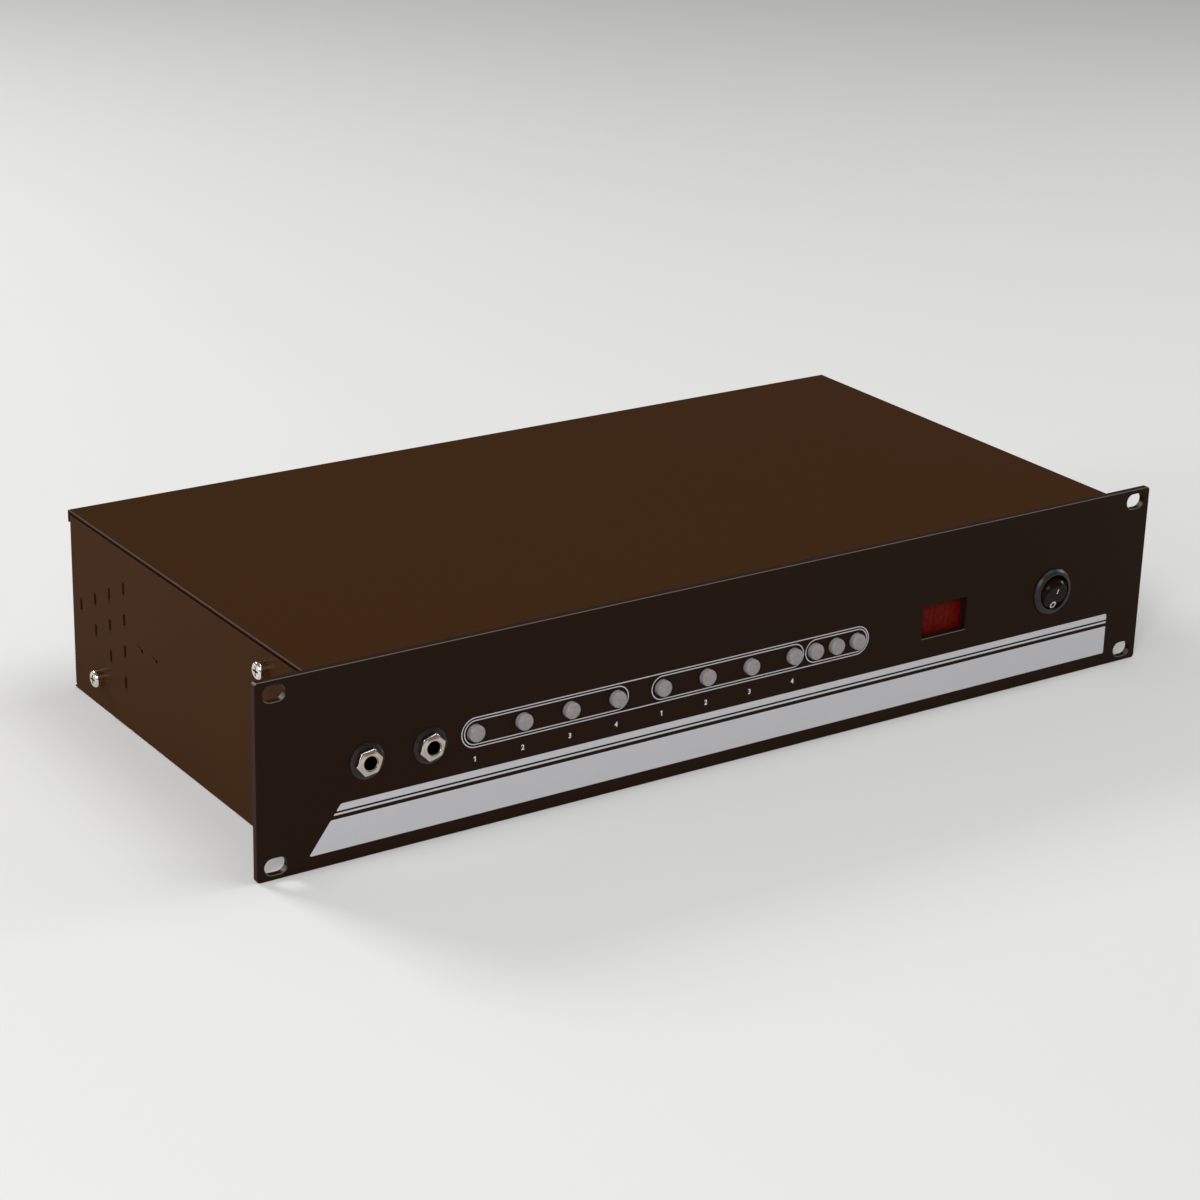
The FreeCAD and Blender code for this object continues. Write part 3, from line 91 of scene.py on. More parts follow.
class Material:
    """A node material with one Principled shader and short helpers for its inputs."""

    def __init__(self, name, color, roughness, metallic=0.0, specular=0.5):
        self.material = bpy.data.materials.new(name)
        self.material.use_nodes = True
        self.tree = self.material.node_tree
        self.shader = self.tree.nodes["Principled BSDF"]
        self.color = color
        self.set("Base Color", color)
        self.set("Roughness", roughness)
        self.set("Metallic", metallic)
        self.set("Specular IOR Level", specular)

    def set(self, socket, value):
        self.shader.inputs[socket].default_value = value

    def node(self, kind, **values):
        made = self.tree.nodes.new(kind)
        for key, value in values.items():
            setattr(made, key, value)
        return made

    def link(self, out, into):
        self.tree.links.new(out, into)

    def noise(self, scale, detail=4.0):
        """Noise in the piece's own coordinates, with scale in features per metre."""
        place = self.node("ShaderNodeTexCoord")
        made = self.node("ShaderNodeTexNoise")
        made.inputs["Scale"].default_value = scale
        made.inputs["Detail"].default_value = detail
        made.inputs["Roughness"].default_value = 0.6
        self.link(place.outputs["Object"], made.inputs["Vector"])
        return made.outputs["Fac"]

    def step(self, source, start, end, low, high, shape="SMOOTHSTEP"):
        """Goes from low to high while the source goes from start to end."""
        made = self.node("ShaderNodeMapRange", interpolation_type=shape)
        spans = {"From Min": start, "From Max": end, "To Min": low, "To Max": high}
        for socket, value in spans.items():
            made.inputs[socket].default_value = value
        self.link(source, made.inputs["Value"])
        return made.outputs["Result"]

    def ramp(self, source, low, high):
        """Maps the middle of a noise onto the span from low to high."""
        return self.step(source, *NOISE_MIDDLE, low, high, "LINEAR")

    def mix(self, factor, first, second):
        """Mixes two colours, each a plain colour or an output, by a factor."""
        made = self.node("ShaderNodeMix", data_type="RGBA")
        self.link(factor, made.inputs["Factor"])
        for socket, color in (("A", first), ("B", second)):
            if isinstance(color, tuple):
                made.inputs[socket].default_value = color
            else:
                self.link(color, made.inputs[socket])
        return made.outputs["Result"]

    def vary_color(self, source, darker, lighter):
        """Varies the base colour by a noise, between two brightness factors."""
        low = tuple(c * darker for c in self.color[:3]) + (1.0,)
        high = tuple(c * lighter for c in self.color[:3]) + (1.0,)
        varied = self.mix(self.ramp(source, 0.0, 1.0), low, high)
        self.link(varied, self.shader.inputs["Base Color"])
        return varied

    def upper_edge_highlight(self, rise, fall):
        """The mask of the painted edge highlight: 1 on edges that lean upwards, where the normal's height has
        risen and hasn't yet topped out.
        """
        split = self.node("ShaderNodeSeparateXYZ")
        self.link(self.node("ShaderNodeNewGeometry").outputs["Normal"], split.inputs["Vector"])
        product = self.node("ShaderNodeMath", operation="MULTIPLY")
        self.link(self.step(split.outputs["Z"], *rise, 0.0, 1.0), product.inputs[0])
        self.link(self.step(split.outputs["Z"], *fall, 1.0, 0.0), product.inputs[1])
        return product.outputs["Value"]

    def vary_roughness(self, source, low, high):
        self.link(self.ramp(source, low, high), self.shader.inputs["Roughness"])

    def bump(self, source, depth):
        """A bump whose height, in metres, follows a noise."""
        made = self.node("ShaderNodeBump")
        made.inputs["Strength"].default_value = 1.0
        made.inputs["Distance"].default_value = depth
        self.link(source, made.inputs["Height"])
        self.link(made.outputs["Normal"], self.shader.inputs["Normal"])


def paint(name, color, edge, roughness, specular, grain, depth, highlight_span=EDGE_HIGHLIGHT_SPAN):
    """Baked satin paint: a fine grain in tone and height, and a painted highlight in a lighter colour on edges
    that lean upwards.
    """
    made = Material(name, color, roughness, specular=specular)
    speck = made.noise(grain, detail=3.0)
    plain = made.vary_color(speck, 0.88, 1.14)
    # Mixes in the colour of the painted highlight on upward-leaning edges
    made.link(made.mix(made.upper_edge_highlight(*highlight_span), plain, edge), made.shader.inputs["Base Color"])
    made.vary_roughness(made.noise(14.0, detail=2.0), roughness - 0.015, roughness + 0.015)
    made.bump(speck, depth)
    return made.material


def plated(name, color, roughness):
    """Plated or plain metal with fine marks."""
    made = Material(name, color, roughness, metallic=1.0)
    marks = made.noise(900.0, detail=3.0)
    made.vary_roughness(marks, roughness * 0.8, roughness * 1.35)
    made.vary_color(made.noise(250.0), 0.93, 1.04)
    made.bump(marks, 0.002 * MM)
    return made.material


def moulded(name, color, roughness, specular=0.4, grain=1800.0, depth=0.006 * MM):
    """Moulded plastic with a fine matt grain."""
    made = Material(name, color, roughness, specular=specular)
    made.vary_color(made.noise(120.0), 0.9, 1.1)
    made.vary_roughness(made.noise(400.0), roughness - 0.04, roughness + 0.06)
    made.bump(made.noise(grain, detail=2.0), depth)
    return made.material


def ink(name, color):
    """Screen-printed ink with a fine speckle."""
    made = Material(name, color, 0.5, specular=0.25)
    made.vary_color(made.noise(2600.0, detail=3.0), 0.94, 1.05)
    made.bump(made.noise(1500.0, detail=2.0), 0.003 * MM)
    return made.material


def frosted_cap():
    """Light grey frosted plastic, faintly mottled, that lets a little light through."""
    made = Material("frosted_cap", srgb(152, 145, 146), 0.36, specular=0.45)
    made.set("Subsurface Weight", 0.25)
    made.set("Subsurface Radius", (1.2 * MM,) * 3)
    made.set("Subsurface Scale", 1.0)
    made.vary_color(made.noise(700.0, detail=5.0), 0.82, 1.12)
    made.bump(made.noise(1100.0, detail=3.0), 0.02 * MM)
    return made.material


def red_window():
    """A deep red filter, faintly clouded by what is behind it."""
    made = Material("red_window", srgb(104, 22, 4), 0.34, specular=0.06)
    made.vary_color(made.noise(420.0, detail=5.0), 0.72, 1.2)
    made.bump(made.noise(500.0), 0.004 * MM)
    return made.material


def board_green():
    """Solder mask over copper, in two faint shades of green."""
    made = Material("board_green", srgb(20, 78, 38), 0.35, specular=0.4)
    made.vary_color(made.noise(350.0), 0.7, 1.25)
    made.bump(made.noise(900.0), 0.01 * MM)
    return made.material


def clear_part(name, color):
    """Clear glass or plastic, a little clouded."""
    made = Material(name, color, 0.2)
    made.set("Transmission Weight", 0.7)
    made.vary_color(made.noise(400.0), 0.9, 1.05)
    return made.material


MATERIALS = {
    "panel_black": paint(
        "panel_paint",
        # Brown that stands in for the warm reflection of a wooden table on black paint: painted reflection. Darker
        # than the case paint: painted shade on the front, which gets less light
        srgb(41, 28, 19),
        # The colour of the painted highlight on edges that lean upwards
        edge=srgb(98, 91, 86),
        roughness=0.36,
        specular=0.05,
        grain=2600.0,
        depth=0.006 * MM,
    ),
    "case_black": paint(
        "case_paint",
        # Brown that stands in for the warm reflection of a wooden table on black paint: painted reflection
        srgb(61, 40, 23),
        # The colour of the painted highlight on edges that lean upwards
        edge=srgb(78, 72, 71),
        roughness=0.34,
        specular=0.008,
        grain=2200.0,
        depth=0.008 * MM,
        highlight_span=((0.42, 0.56), (0.8, 0.9)),
    ),
    "button_grey": frosted_cap(),
    "black_plastic": moulded("black_plastic", srgb(27, 22, 18), 0.3, 0.4),
    "jack_nickel": plated("jack_nickel", srgb(206, 192, 178), 0.13),
    "din_black": moulded("din_plastic", srgb(28, 28, 28), 0.5),
    "screw_chrome": plated("screw_chrome", srgb(226, 222, 216), 0.1),
    "screw_black": plated("screw_black", srgb(52, 48, 44), 0.42),
    "inner_steel": plated("zinc_steel", srgb(196, 196, 192), 0.32),
    "contact_brass": plated("contact_brass", srgb(214, 196, 150), 0.25),
    "filter_red": red_window(),
    "display_black": moulded("display_plastic", srgb(48, 24, 20), 0.45),
    "board_green": board_green(),
    "component_black": moulded("component_plastic", srgb(34, 34, 36), 0.45),
    "lamp_clear": clear_part("lamp_plastic", srgb(236, 236, 226)),
    "fuse_glass": clear_part("fuse_glass", srgb(230, 236, 234)),
    "transformer_film": moulded("winding_film", srgb(206, 160, 62), 0.3, 0.5, 600.0, 0.05 * MM),
    "pad_rubber": moulded("pad_rubber", srgb(26, 26, 26), 0.7, 0.3),
    "cable_grey": moulded("cable_sleeve", srgb(150, 150, 152), 0.5),
}

# Materials of shapes that share a slot with something else
SILVER_INK = ink("silver_ink", srgb(200, 200, 203))
WHITE_INK = ink("white_ink", srgb(226, 226, 224))
# A near-black for painted shade in the cover's seams, also used for the dark marks on the flush screws
SHADE_AND_MARK_BLACK = moulded("seam_shadow", srgb(10, 8, 6), 0.8, 0.02)
# Warm brown that stands in for the reflection of a wooden table on the black rocker: painted reflection
ROCKER_BLACK = moulded("rocker_plastic", srgb(32, 23, 16), 0.17, 0.06, 1500.0, 0.003 * MM)
SEGMENT_RED = moulded("digit_segments", srgb(93, 19, 4), 0.45, 0.05)
BEZEL_BLACK = moulded("bezel_plastic", srgb(29, 25, 21), 0.38, 0.45, 1500.0, 0.003 * MM)


def give_material(node, material):
    """Gives a carried-over node one material in place of what it has."""
    materials = NODES[node].data.materials
    materials.clear()
    materials.append(material)


def finish_nodes():
    """Gives every carried-over node the material of its slot in the record."""
    for part in frame["record"]["subparts"]:
        give_material(part["node"], MATERIALS[part["material_slot"]])


# Building meshes


def add_object(name, data):
    """A new object in the scene."""
    made = bpy.data.objects.new(name, data)
    bpy.context.scene.collection.objects.link(made)
    return made


def new_piece(name, mesh_data, body, material, smooth=35.0):
    """Makes an object of a bmesh, smooth up to an angle in degrees, that rides on its body."""
    mesh = bpy.data.meshes.new(name)
    bmesh.ops.recalc_face_normals(mesh_data, faces=mesh_data.faces)
    mesh_data.to_mesh(mesh)
    mesh_data.free()
    mesh.materials.append(material)
    mesh.shade_smooth()
    mesh.set_sharp_from_angle(angle=math.radians(smooth))
    piece = add_object(name, mesh)
    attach(piece, body)
    return piece


def frame_matrix(origin, axis, across=(1, 0, 0)):
    """A frame at origin whose Z runs along axis and whose X is as near to across as it can be."""
    z = Vector(axis).normalized()
    x = Vector(across) - z * Vector(across).dot(z)
    x.normalize()
    y = z.cross(x)
    return Matrix.Translation(Vector(origin)) @ Matrix((x, y, z)).transposed().to_4x4()


def lathe(mesh_data, profile, place, steps=96):
    """Turns a list of (radius, height) points about the Z axis of place."""
    rings = []
    for radius, height in profile:
        if radius < 1e-9:
            rings.append([mesh_data.verts.new(place @ Vector((0, 0, height)))])
            continue
        ring = [
            Vector((radius * math.cos(angle), radius * math.sin(angle), height))
            for angle in full_turn(steps)
        ]
        rings.append([mesh_data.verts.new(place @ point) for point in ring])
    for a, b in zip(rings, rings[1:]):
        join_rings(mesh_data, a, b)


def join_rings(mesh_data, a, b):
    """Faces between two rings of as many points, or between a ring and a single point."""
    count = max(len(a), len(b))
    for k in range(count):
        following = (k + 1) % count
        if len(a) == 1:
            mesh_data.faces.new((a[0], b[k], b[following]))
        elif len(b) == 1:
            mesh_data.faces.new((a[k], a[following], b[0]))
        else:
            mesh_data.faces.new((a[k], a[following], b[following], b[k]))


def arc(cx, cy, radius, start, end, steps=8):
    """Points of a circular arc, from the angle start to the angle end in degrees."""
    turn = [math.radians(start + (end - start) * k / steps) for k in range(steps + 1)]
    return [(cx + radius * math.cos(a), cy + radius * math.sin(a)) for a in turn]


def scaled(profile):
    """A profile in metres from one in millimetres."""
    return [(a * MM, b * MM) for a, b in profile]


def full_turn(steps):
    """Evenly spaced angles round a circle, in radians."""
    return [2 * math.pi * k / steps for k in range(steps)]


def oval(u, v, across, up, steps):
    """The outline of an ellipse about (u, v)."""
    return [(u + across * math.cos(a), v + up * math.sin(a)) for a in full_turn(steps)]


def rounded_outline(corners, steps=6):
    """An outline of (u, v, radius) corners, each rounded by its own radius."""
    points = []
    count = len(corners)
    for k, (u, v, radius) in enumerate(corners):
        here = Vector((u, v))
        before = (Vector(corners[k - 1][:2]) - here).normalized()
        after = (Vector(corners[(k + 1) % count][:2]) - here).normalized()
        half = before.angle(after) / 2
        back = radius / math.tan(half)
        centre = here + (before + after).normalized() * (radius / math.sin(half))
        first = here + before * back - centre
        turn = first.angle_signed(here + after * back - centre)
        for s in range(steps + 1):
            spun = first.copy()
            spun.rotate(Matrix.Rotation(-turn * s / steps, 2))
            points.append(tuple(centre + spun))
    return points


def stadium(u0, u1, v, radius, steps=24):
    """The outline of a strip with round ends about the line from (u0, v) to (u1, v)."""
    return arc(u1, v, radius, -90, 90, steps) + arc(u0, v, radius, 90, 270, steps)


def film(mesh_data, outline, place, hole=None):
    """A thin printed film: an outline, or the strip between an outline and a hole of as many points."""
    levels = []
    for height in (INK_LIFT, INK_LIFT + INK):
        loops = []
        for points in filter(None, (outline, hole)):
            corners = [Vector((u * MM, v * MM, height)) for u, v in points]
            loops.append([mesh_data.verts.new(place @ corner) for corner in corners])
        levels.append(loops)
    for low, high in zip(*levels):
        join_rings(mesh_data, low, high)
    for loops in levels:
        if hole:
            join_rings(mesh_data, loops[0], loops[1])
        else:
            mesh_data.faces.new(loops[0])


# The planes of the front and rear panels' faces, with u to the right of who looks at them, v up
# and heights outwards
FACE = frame_matrix((0, FACE_Y, 0), (0, -1, 0))
REAR = frame_matrix((0, REAR_Y, 0), (0, 1, 0), (-1, 0, 0))


# Printing on the panel, in millimetres from the panel's middle and bottom edge

BAND_LEFT = (-217.4, 6.3)
BAND_SLOPE = 0.726
BAND_RIGHT = 220.3
# Each band: lower and upper edge, then the radii at top left, bottom left, top right, bottom right
BANDS = (
    (6.3, 20.3, 1.2, 0.5, 0.4, 0.5),
    (22.05, 22.93, 0.2, 0.2, 0.2, 0.2),
    (23.8, 26.83, 2.0, 0.3, 1.2, 0.2),
)
PILL_Z = 44.2
PILL_OUTER_R = 6.95
PILL_INNER_R = 5.69
PILL_LINE = 0.46
PILL_OUTER = (-138.1, 65.1)
PILLS_INNER = ((-138.0, -66.1), (-42.7, 29.2), (41.4, 65.4))
NUMBER_Z = 30.9
NUMBER_HEIGHT = 2.4
NUMBER_WEIGHT = 0.022


def band_left(z):
    """The left end of the bands at a height, on their slanted line."""
    return BAND_LEFT[0] + (z - BAND_LEFT[1]) * BAND_SLOPE


def band(low, high, left_top_r, left_low_r, right_top_r, right_low_r):
    """The outline of one silver band."""
    return rounded_outline(
        [
            (band_left(low), low, left_low_r),
            (BAND_RIGHT, low, right_low_r),
            (BAND_RIGHT, high, right_top_r),
            (band_left(high), high, left_top_r),
        ]
    )


def print_bands():
    """The silver bands along the bottom of the panel."""
    bands = bmesh.new()
    for sizes in BANDS:
        film(bands, band(*sizes), FACE)
    new_piece("silver_bands", bands, "case", SILVER_INK)


def pill(mesh_data, ends, radius):
    """One line in the shape of a strip with round ends."""
    outer = stadium(*ends, PILL_Z, radius)
    inner = stadium(*ends, PILL_Z, radius - PILL_LINE)
    film(mesh_data, outer, FACE, inner)


def print_pills():
    """The outlines round the groups of buttons."""
    lines = bmesh.new()
    pill(lines, PILL_OUTER, PILL_OUTER_R)
    for ends in PILLS_INNER:
        pill(lines, ends, PILL_INNER_R)
    new_piece("button_outlines", lines, "case", SILVER_INK)


def number_mesh(text, height):
    """A number as a bold flat mesh of the given height, centred on its width."""
    curve = bpy.data.curves.new("number", "FONT")
    curve.body = text
    curve.size = 1.0
    curve.offset = NUMBER_WEIGHT
    curve.resolution_u = 6
    curve.extrude = 0.5
    source = add_object("number", curve)
    bpy.context.view_layer.update()
    drawn = source.evaluated_get(bpy.context.evaluated_depsgraph_get())
    mesh = bpy.data.meshes.new_from_object(drawn)
    bpy.data.objects.remove(source)
    bpy.data.curves.remove(curve)
    low = Vector([min(v.co[i] for v in mesh.vertices) for i in range(3)])
    high = Vector([max(v.co[i] for v in mesh.vertices) for i in range(3)])
    size = height / (high.y - low.y)
    for v in mesh.vertices:
        u = (v.co.x - (low.x + high.x) / 2) * size
        v.co = (u, (v.co.y - low.y) * size, INK_LIFT + (INK if v.co.z > 0 else 0))
    return mesh


# The outline of a bold 1 with its flag, for a height of 1, and how far right its middle is
ONE = [
    (0.30, 0.0),
    (0.30, 1.0),
    (0.13, 1.0),
    (-0.10, 0.83),
    (-0.10, 0.66),
    (0.10, 0.77),
    (0.10, 0.0),
]
ONE_MIDDLE = 0.12


def print_numbers(name, places, plane, height):
    """Prints numbers; each place is (text, u, v) on the plane, in millimetres."""
    numbers = bmesh.new()
    for text, u, v in places:
        if text == "1":
            outline = [(u + (a - ONE_MIDDLE) * height, v + b * height) for a, b in ONE]
            film(numbers, outline, plane)
            continue
        mesh = number_mesh(text, height * MM)
        mesh.transform(plane @ Matrix.Translation((u * MM, v * MM, 0)))
        numbers.from_mesh(mesh)
        bpy.data.meshes.remove(mesh)
    new_piece(name, numbers, "case", WHITE_INK)


def print_front_numbers():
    """The numbers under the first two groups of buttons."""
    places = []
    for k, name in enumerate(NUMBERED):
        places.append((str(k % GROUP + 1), middle(name).x / MM, NUMBER_Z))
    print_numbers("button_numbers", places, FACE, NUMBER_HEIGHT)


# How far the rear numbers stand over the jacks' middles, and the numbers of each row
REAR_NUMBER_UP = 9.4
REAR_NUMBER_HEIGHT = 2.8
REAR_ROWS = (("upper", "12341234"), ("lower", "1234121"))


def print_rear_numbers():
    """Plain numbers over the rear jacks, counted from 1 in each group."""
    mounts = {mount["name"]: mount["pos_m"] for mount in frame["record"]["mounts"]}
    places = []
    for row, numbers in REAR_ROWS:
        for k, number in enumerate(numbers):
            x, _, z = mounts[f"rear_{row}_jack_{k + 1}"]
            places.append((number, -x / MM, z / MM + REAR_NUMBER_UP))
    print_numbers("rear_numbers", places, REAR, REAR_NUMBER_HEIGHT)


# Painted shade in the seams, and small marks on the case

LEFT_LOW, LEFT_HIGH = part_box("side_wall_left")
RIGHT_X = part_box("side_wall_right")[1].x
SEAM_Z = (85.5, 86.45)
SEAM_DEPTH = 0.3

# The corners of each face of a box, whose corners are listed with x slowest and z fastest
BOX_FACES = (
    (0, 1, 3, 2),
    (4, 5, 7, 6),
    (0, 1, 5, 4),
    (2, 3, 7, 6),
    (0, 2, 6, 4),
    (1, 3, 7, 5),
)


def cover_seam_shade():
    """A near-black strip in the gap between the cover and each side wall: painted shade."""
    strips = bmesh.new()
    ys = (LEFT_LOW.y, LEFT_HIGH.y)
    for side, wall_x in ((-1, LEFT_LOW.x), (1, RIGHT_X)):
        face = wall_x + side * INK
        xs = sorted((face, face - side * SEAM_DEPTH * MM))
        corners = [strips.verts.new((x, y, z * MM)) for x in xs for y in ys for z in SEAM_Z]
        for quad in BOX_FACES:
            strips.faces.new([corners[k] for k in quad])
    new_piece("cover_seam_shade", strips, "case", SHADE_AND_MARK_BLACK)


# The paint over a flush screw and its marks: half the line's length, rise and width, then the
# dot's place and radius, with u towards the front and v up
FLUSH_R = 3.15
FLUSH_LINE = (2.6, 0.55, 0.17)
FLUSH_DOT = (2.2, -0.8, 0.85)


def flush_screws():
    """Paint over the two flush screws, with the dark mark and dot that show on each."""
    low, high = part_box("regulator_screws")
    paint_over, marks = bmesh.new(), bmesh.new()
    z = (low.z + high.z) / 2
    radius = (high.z - low.z) / 2
    for y in (low.y + radius, high.y - radius):
        place = frame_matrix((LEFT_LOW.x, y, z), (-1, 0, 0), (0, -1, 0))
        film(paint_over, oval(0, 0, FLUSH_R, FLUSH_R, 64), place)
        raised = place @ Matrix.Translation((0, 0, INK))
        u, v, half = FLUSH_LINE
        film(marks, [(-u, v - half), (u, -v - half), (u, -v + half), (-u, v + half)], raised)
        u, v, radius_of_dot = FLUSH_DOT
        film(marks, oval(u, v, radius_of_dot, radius_of_dot, 24), raised)
    new_piece("flush_screw_paint", paint_over, "case", MATERIALS["case_black"])
    new_piece("flush_screw_marks", marks, "case", SHADE_AND_MARK_BLACK)


# Buttons, in millimetres: the dome's fall, the rounding of the cap's edge and the step at the dome's rim
CAP_DOME = 0.2
CAP_EDGE = 0.8
CAP_STEP = 0.07

# The flange's width round the cap, its thickness and its depth behind the panel's face
FLANGE_LEDGE = 0.95
FLANGE_THICK = 1.0
FLANGE_DEPTH = 3.3

# The stem's outer and inner radius as steps in from the cap's, and the depth where its hollow ends
STEM_OUTER = 0.55
STEM_INNER = 1.35
STEM_HOLLOW = 1.5


def cap_profile(r, flange_r, back, length):
    """A cap from the middle of its dome over its edge and flange to the hollow of its stem."""
    crown = [(x, -CAP_DOME * (x / r) ** 2) for x in (0, 1.0, 1.8, r - CAP_EDGE - 0.45)]
    fall = crown[-1][1] - CAP_STEP
    rim = fall - 0.02
    crown += [(r - CAP_EDGE - 0.3, fall), (r - CAP_EDGE - 0.1, rim)]
    edge = list(reversed(arc(r - CAP_EDGE, rim - CAP_EDGE, CAP_EDGE, 0, 80)))
    return crown + edge + [
        (r, back),
        (flange_r, back),
        (flange_r, back - FLANGE_THICK),
        (r - STEM_OUTER, back - FLANGE_THICK),
        (r - STEM_OUTER, -length),
        (r - STEM_INNER, -length),
        (r - STEM_INNER, -STEM_HOLLOW),
        (0, -STEM_HOLLOW),
    ]


def button_caps():
    """Replaces each flat cap with a slightly domed one with a soft edge."""
    for name in BUTTONS:
        low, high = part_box(name)
        centre = (low + high) / 2
        place = frame_matrix((centre.x, low.y, centre.z), (0, -1, 0))
        flange_r = (high.x - low.x) / 2
        cap_r = (flange_r - FLANGE_LEDGE * MM) / MM
        back = -(FACE_Y - low.y + FLANGE_DEPTH * MM) / MM
        cap = bmesh.new()
        profile = cap_profile(cap_r, flange_r / MM, back, (high.y - low.y) / MM)
        lathe(cap, scaled(profile), place)
        piece = new_piece(name + "_cap", cap, name, MATERIALS["button_grey"])
        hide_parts(name)


# Front jacks, in millimetres, with the nuts' turns in degrees

NUT_FLATS = 11.0
NUT_THICK = 2.3
NUT_BORE = 4.6
NUT_DOME_R = 18.0
NUT_EDGE = 0.42
NUT_FOOT = 0.1
NUT_CORNER = 0.12
NUT_CHAMFER = 0.03
NUT_TURNS = (8.5, 15.5)
JACK_HALF_WIDTH = 7.5
BUSH_BORE = 3.2
BUSH_R = 4.57
BUSH_MOUTH = 0.32
THREAD_PITCH = 0.7
THREAD_DEPTH = 0.22

# The collar as (radius, height): its foot and rim, then its slope up to the nut
COLLAR_RIM = [(4.85, 0.0), (8.1, 0.0), (8.1, 0.3)] + arc(7.9, 0.3, 0.2, 20, 70, 3)
COLLAR_SLOPE = [
    (7.5, 0.72),
    (7.0, 1.08),
    (6.7, 1.24),
    (6.62, 1.2),
    (6.6, 0.88),
    (4.85, 0.88),
    (4.85, 0.0),
]


def hex_radius(angle):
    """The radius of the nut's hexagon at an angle in degrees, with its corners rounded off a little."""
    off = angle % 60 - 30
    plain = NUT_FLATS / 2 / math.cos(math.radians(off))
    off_corner = 30 - abs(off)
    return plain - NUT_CORNER * max(0.0, 1 - off_corner / 4.0) ** 2


def dome_drop(radius):
    """How far the nut's domed face has fallen at a radius, from its height at the bore."""
    return (radius ** 2 - NUT_BORE ** 2) / (2 * NUT_DOME_R)


def nut_profile(r):
    """The closed section of the nut where its outside has the radius r."""
    top = NUT_THICK - dome_drop(r - NUT_EDGE)
    profile = [(NUT_BORE, 0.0), (r - NUT_FOOT, 0.0), (r, NUT_FOOT), (r, top - NUT_EDGE)]
    for turn in (15, 35, 55, 75):
        sine, cosine = math.sin(math.radians(turn)), math.cos(math.radians(turn))
        profile.append((r - NUT_EDGE * (1 - sine), top - NUT_EDGE * (1 - cosine)))
    inner = NUT_BORE + NUT_CHAMFER
    for share in (1.0, 0.66, 0.33, 0.0):
        at = inner + (r - NUT_EDGE - inner) * share
        profile.append((at, NUT_THICK - dome_drop(at)))
    return profile + [(NUT_BORE, NUT_THICK - NUT_CHAMFER)]


def hex_nut(mesh_data, place, steps=144):
    """A polished nut with a domed face and rounded edges."""
    sections = []
    for k in range(steps):
        angle = 360 * k / steps
        c, s = math.cos(math.radians(angle)), math.sin(math.radians(angle))
        profile = nut_profile(hex_radius(angle))
        points = [Vector((radius * c, radius * s, height)) * MM for radius, height in profile]
        sections.append([mesh_data.verts.new(place @ point) for point in points])
    rings = list(zip(*sections))
    for a, b in zip(rings, rings[1:] + rings[:1]):
        join_rings(mesh_data, a, b)


def bush_lip(mesh_data, place, front):
    """The mouth of a threaded bush, from inside it to its outer edge and a few turns of thread."""
    wall = BUSH_BORE + 0.02
    rim = BUSH_BORE + BUSH_MOUTH
    profile = [
        (wall, front - 3.2),
        (wall, front - BUSH_MOUTH - 0.08),
        (BUSH_BORE + 0.06, front - BUSH_MOUTH),
        (rim, front - 0.04),
    ]
    profile += [(r, front - dome_drop(r)) for r in (rim + 0.06, 4.0, 4.3)]
    profile += [(BUSH_R - 0.02, front), (BUSH_R, front - 0.04)]
    for turn in range(3):
        start = front - 0.12 - THREAD_PITCH * turn
        profile.append((BUSH_R - THREAD_DEPTH, start - THREAD_PITCH * 0.5))
        profile.append((BUSH_R, start - THREAD_PITCH))
    lathe(mesh_data, scaled(profile), place, 64)


def front_jacks():
    """Nuts, bush mouths and sloped collars of the two front jacks."""
    low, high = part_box("front_jacks")
    z = middle("front_jacks").z
    half = JACK_HALF_WIDTH * MM
    lift = (FACE_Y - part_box("front_jack_nuts")[1].y) / MM
    nuts, lips, collars = bmesh.new(), bmesh.new(), bmesh.new()
    for x, turn in zip((low.x + half, high.x - half), NUT_TURNS):
        place = frame_matrix((x, FACE_Y, z), (0, -1, 0))
        spin = Matrix.Rotation(math.radians(turn), 4, "Z")
        hex_nut(nuts, place @ spin @ Matrix.Translation((0, 0, lift * MM)))
        bush_lip(lips, place, lift + NUT_THICK)
        lathe(collars, scaled(COLLAR_RIM + COLLAR_SLOPE), place)
    nickel = MATERIALS["jack_nickel"]
    nut = new_piece("jack_nuts", nuts, "case", nickel, 25)
    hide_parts("front_jack_nuts")
    new_piece("jack_mouths", lips, "case", nickel)
    black = MATERIALS["black_plastic"]
    collar = new_piece("dished_collars", collars, "case", black)
    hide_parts("jack_collars")


# Power switch, in millimetres; the rocker at rest is tilted by half of its travel

POWER = middle("power_switch_body")
PIVOT_DEPTH = 2.7
ROCKER_JOINT = next(joint for joint in frame["joints"] if joint["name"] == "power_rocker_tilt")
ROCKER_TILT = ROCKER_JOINT["range_deg"][1] / 2
ROCKER_FACE = 5.9
RING_AT = (0.2, -4.8)
RING_OUTER = (1.7, 1.95)
RING_INNER = (1.0, 1.2)
BAR_U = (-0.05, 0.5)
BAR_V = (1.9, 4.6)
BAR_CORNER = 0.1

# The bezel as (radius, height): its well, its crown and its barrel
BEZEL = [(0.0, -13.0), (9.3, -13.0), (9.3, 0.8), (8.6, 0.8), (8.6, 1.75)]
BEZEL += arc(9.05, 1.75, 0.45, 180, 95, 6)
BEZEL += [(9.45, 2.17), (9.85, 2.05), (10.25, 1.8), (10.65, 1.42), (11.0, 1.02)]
BEZEL += arc(11.1, 0.5, 0.3, 30, 0, 4)
BEZEL += [(11.4, 0.0), (10.0, 0.0), (10.0, -22.0), (0.0, -22.0)]


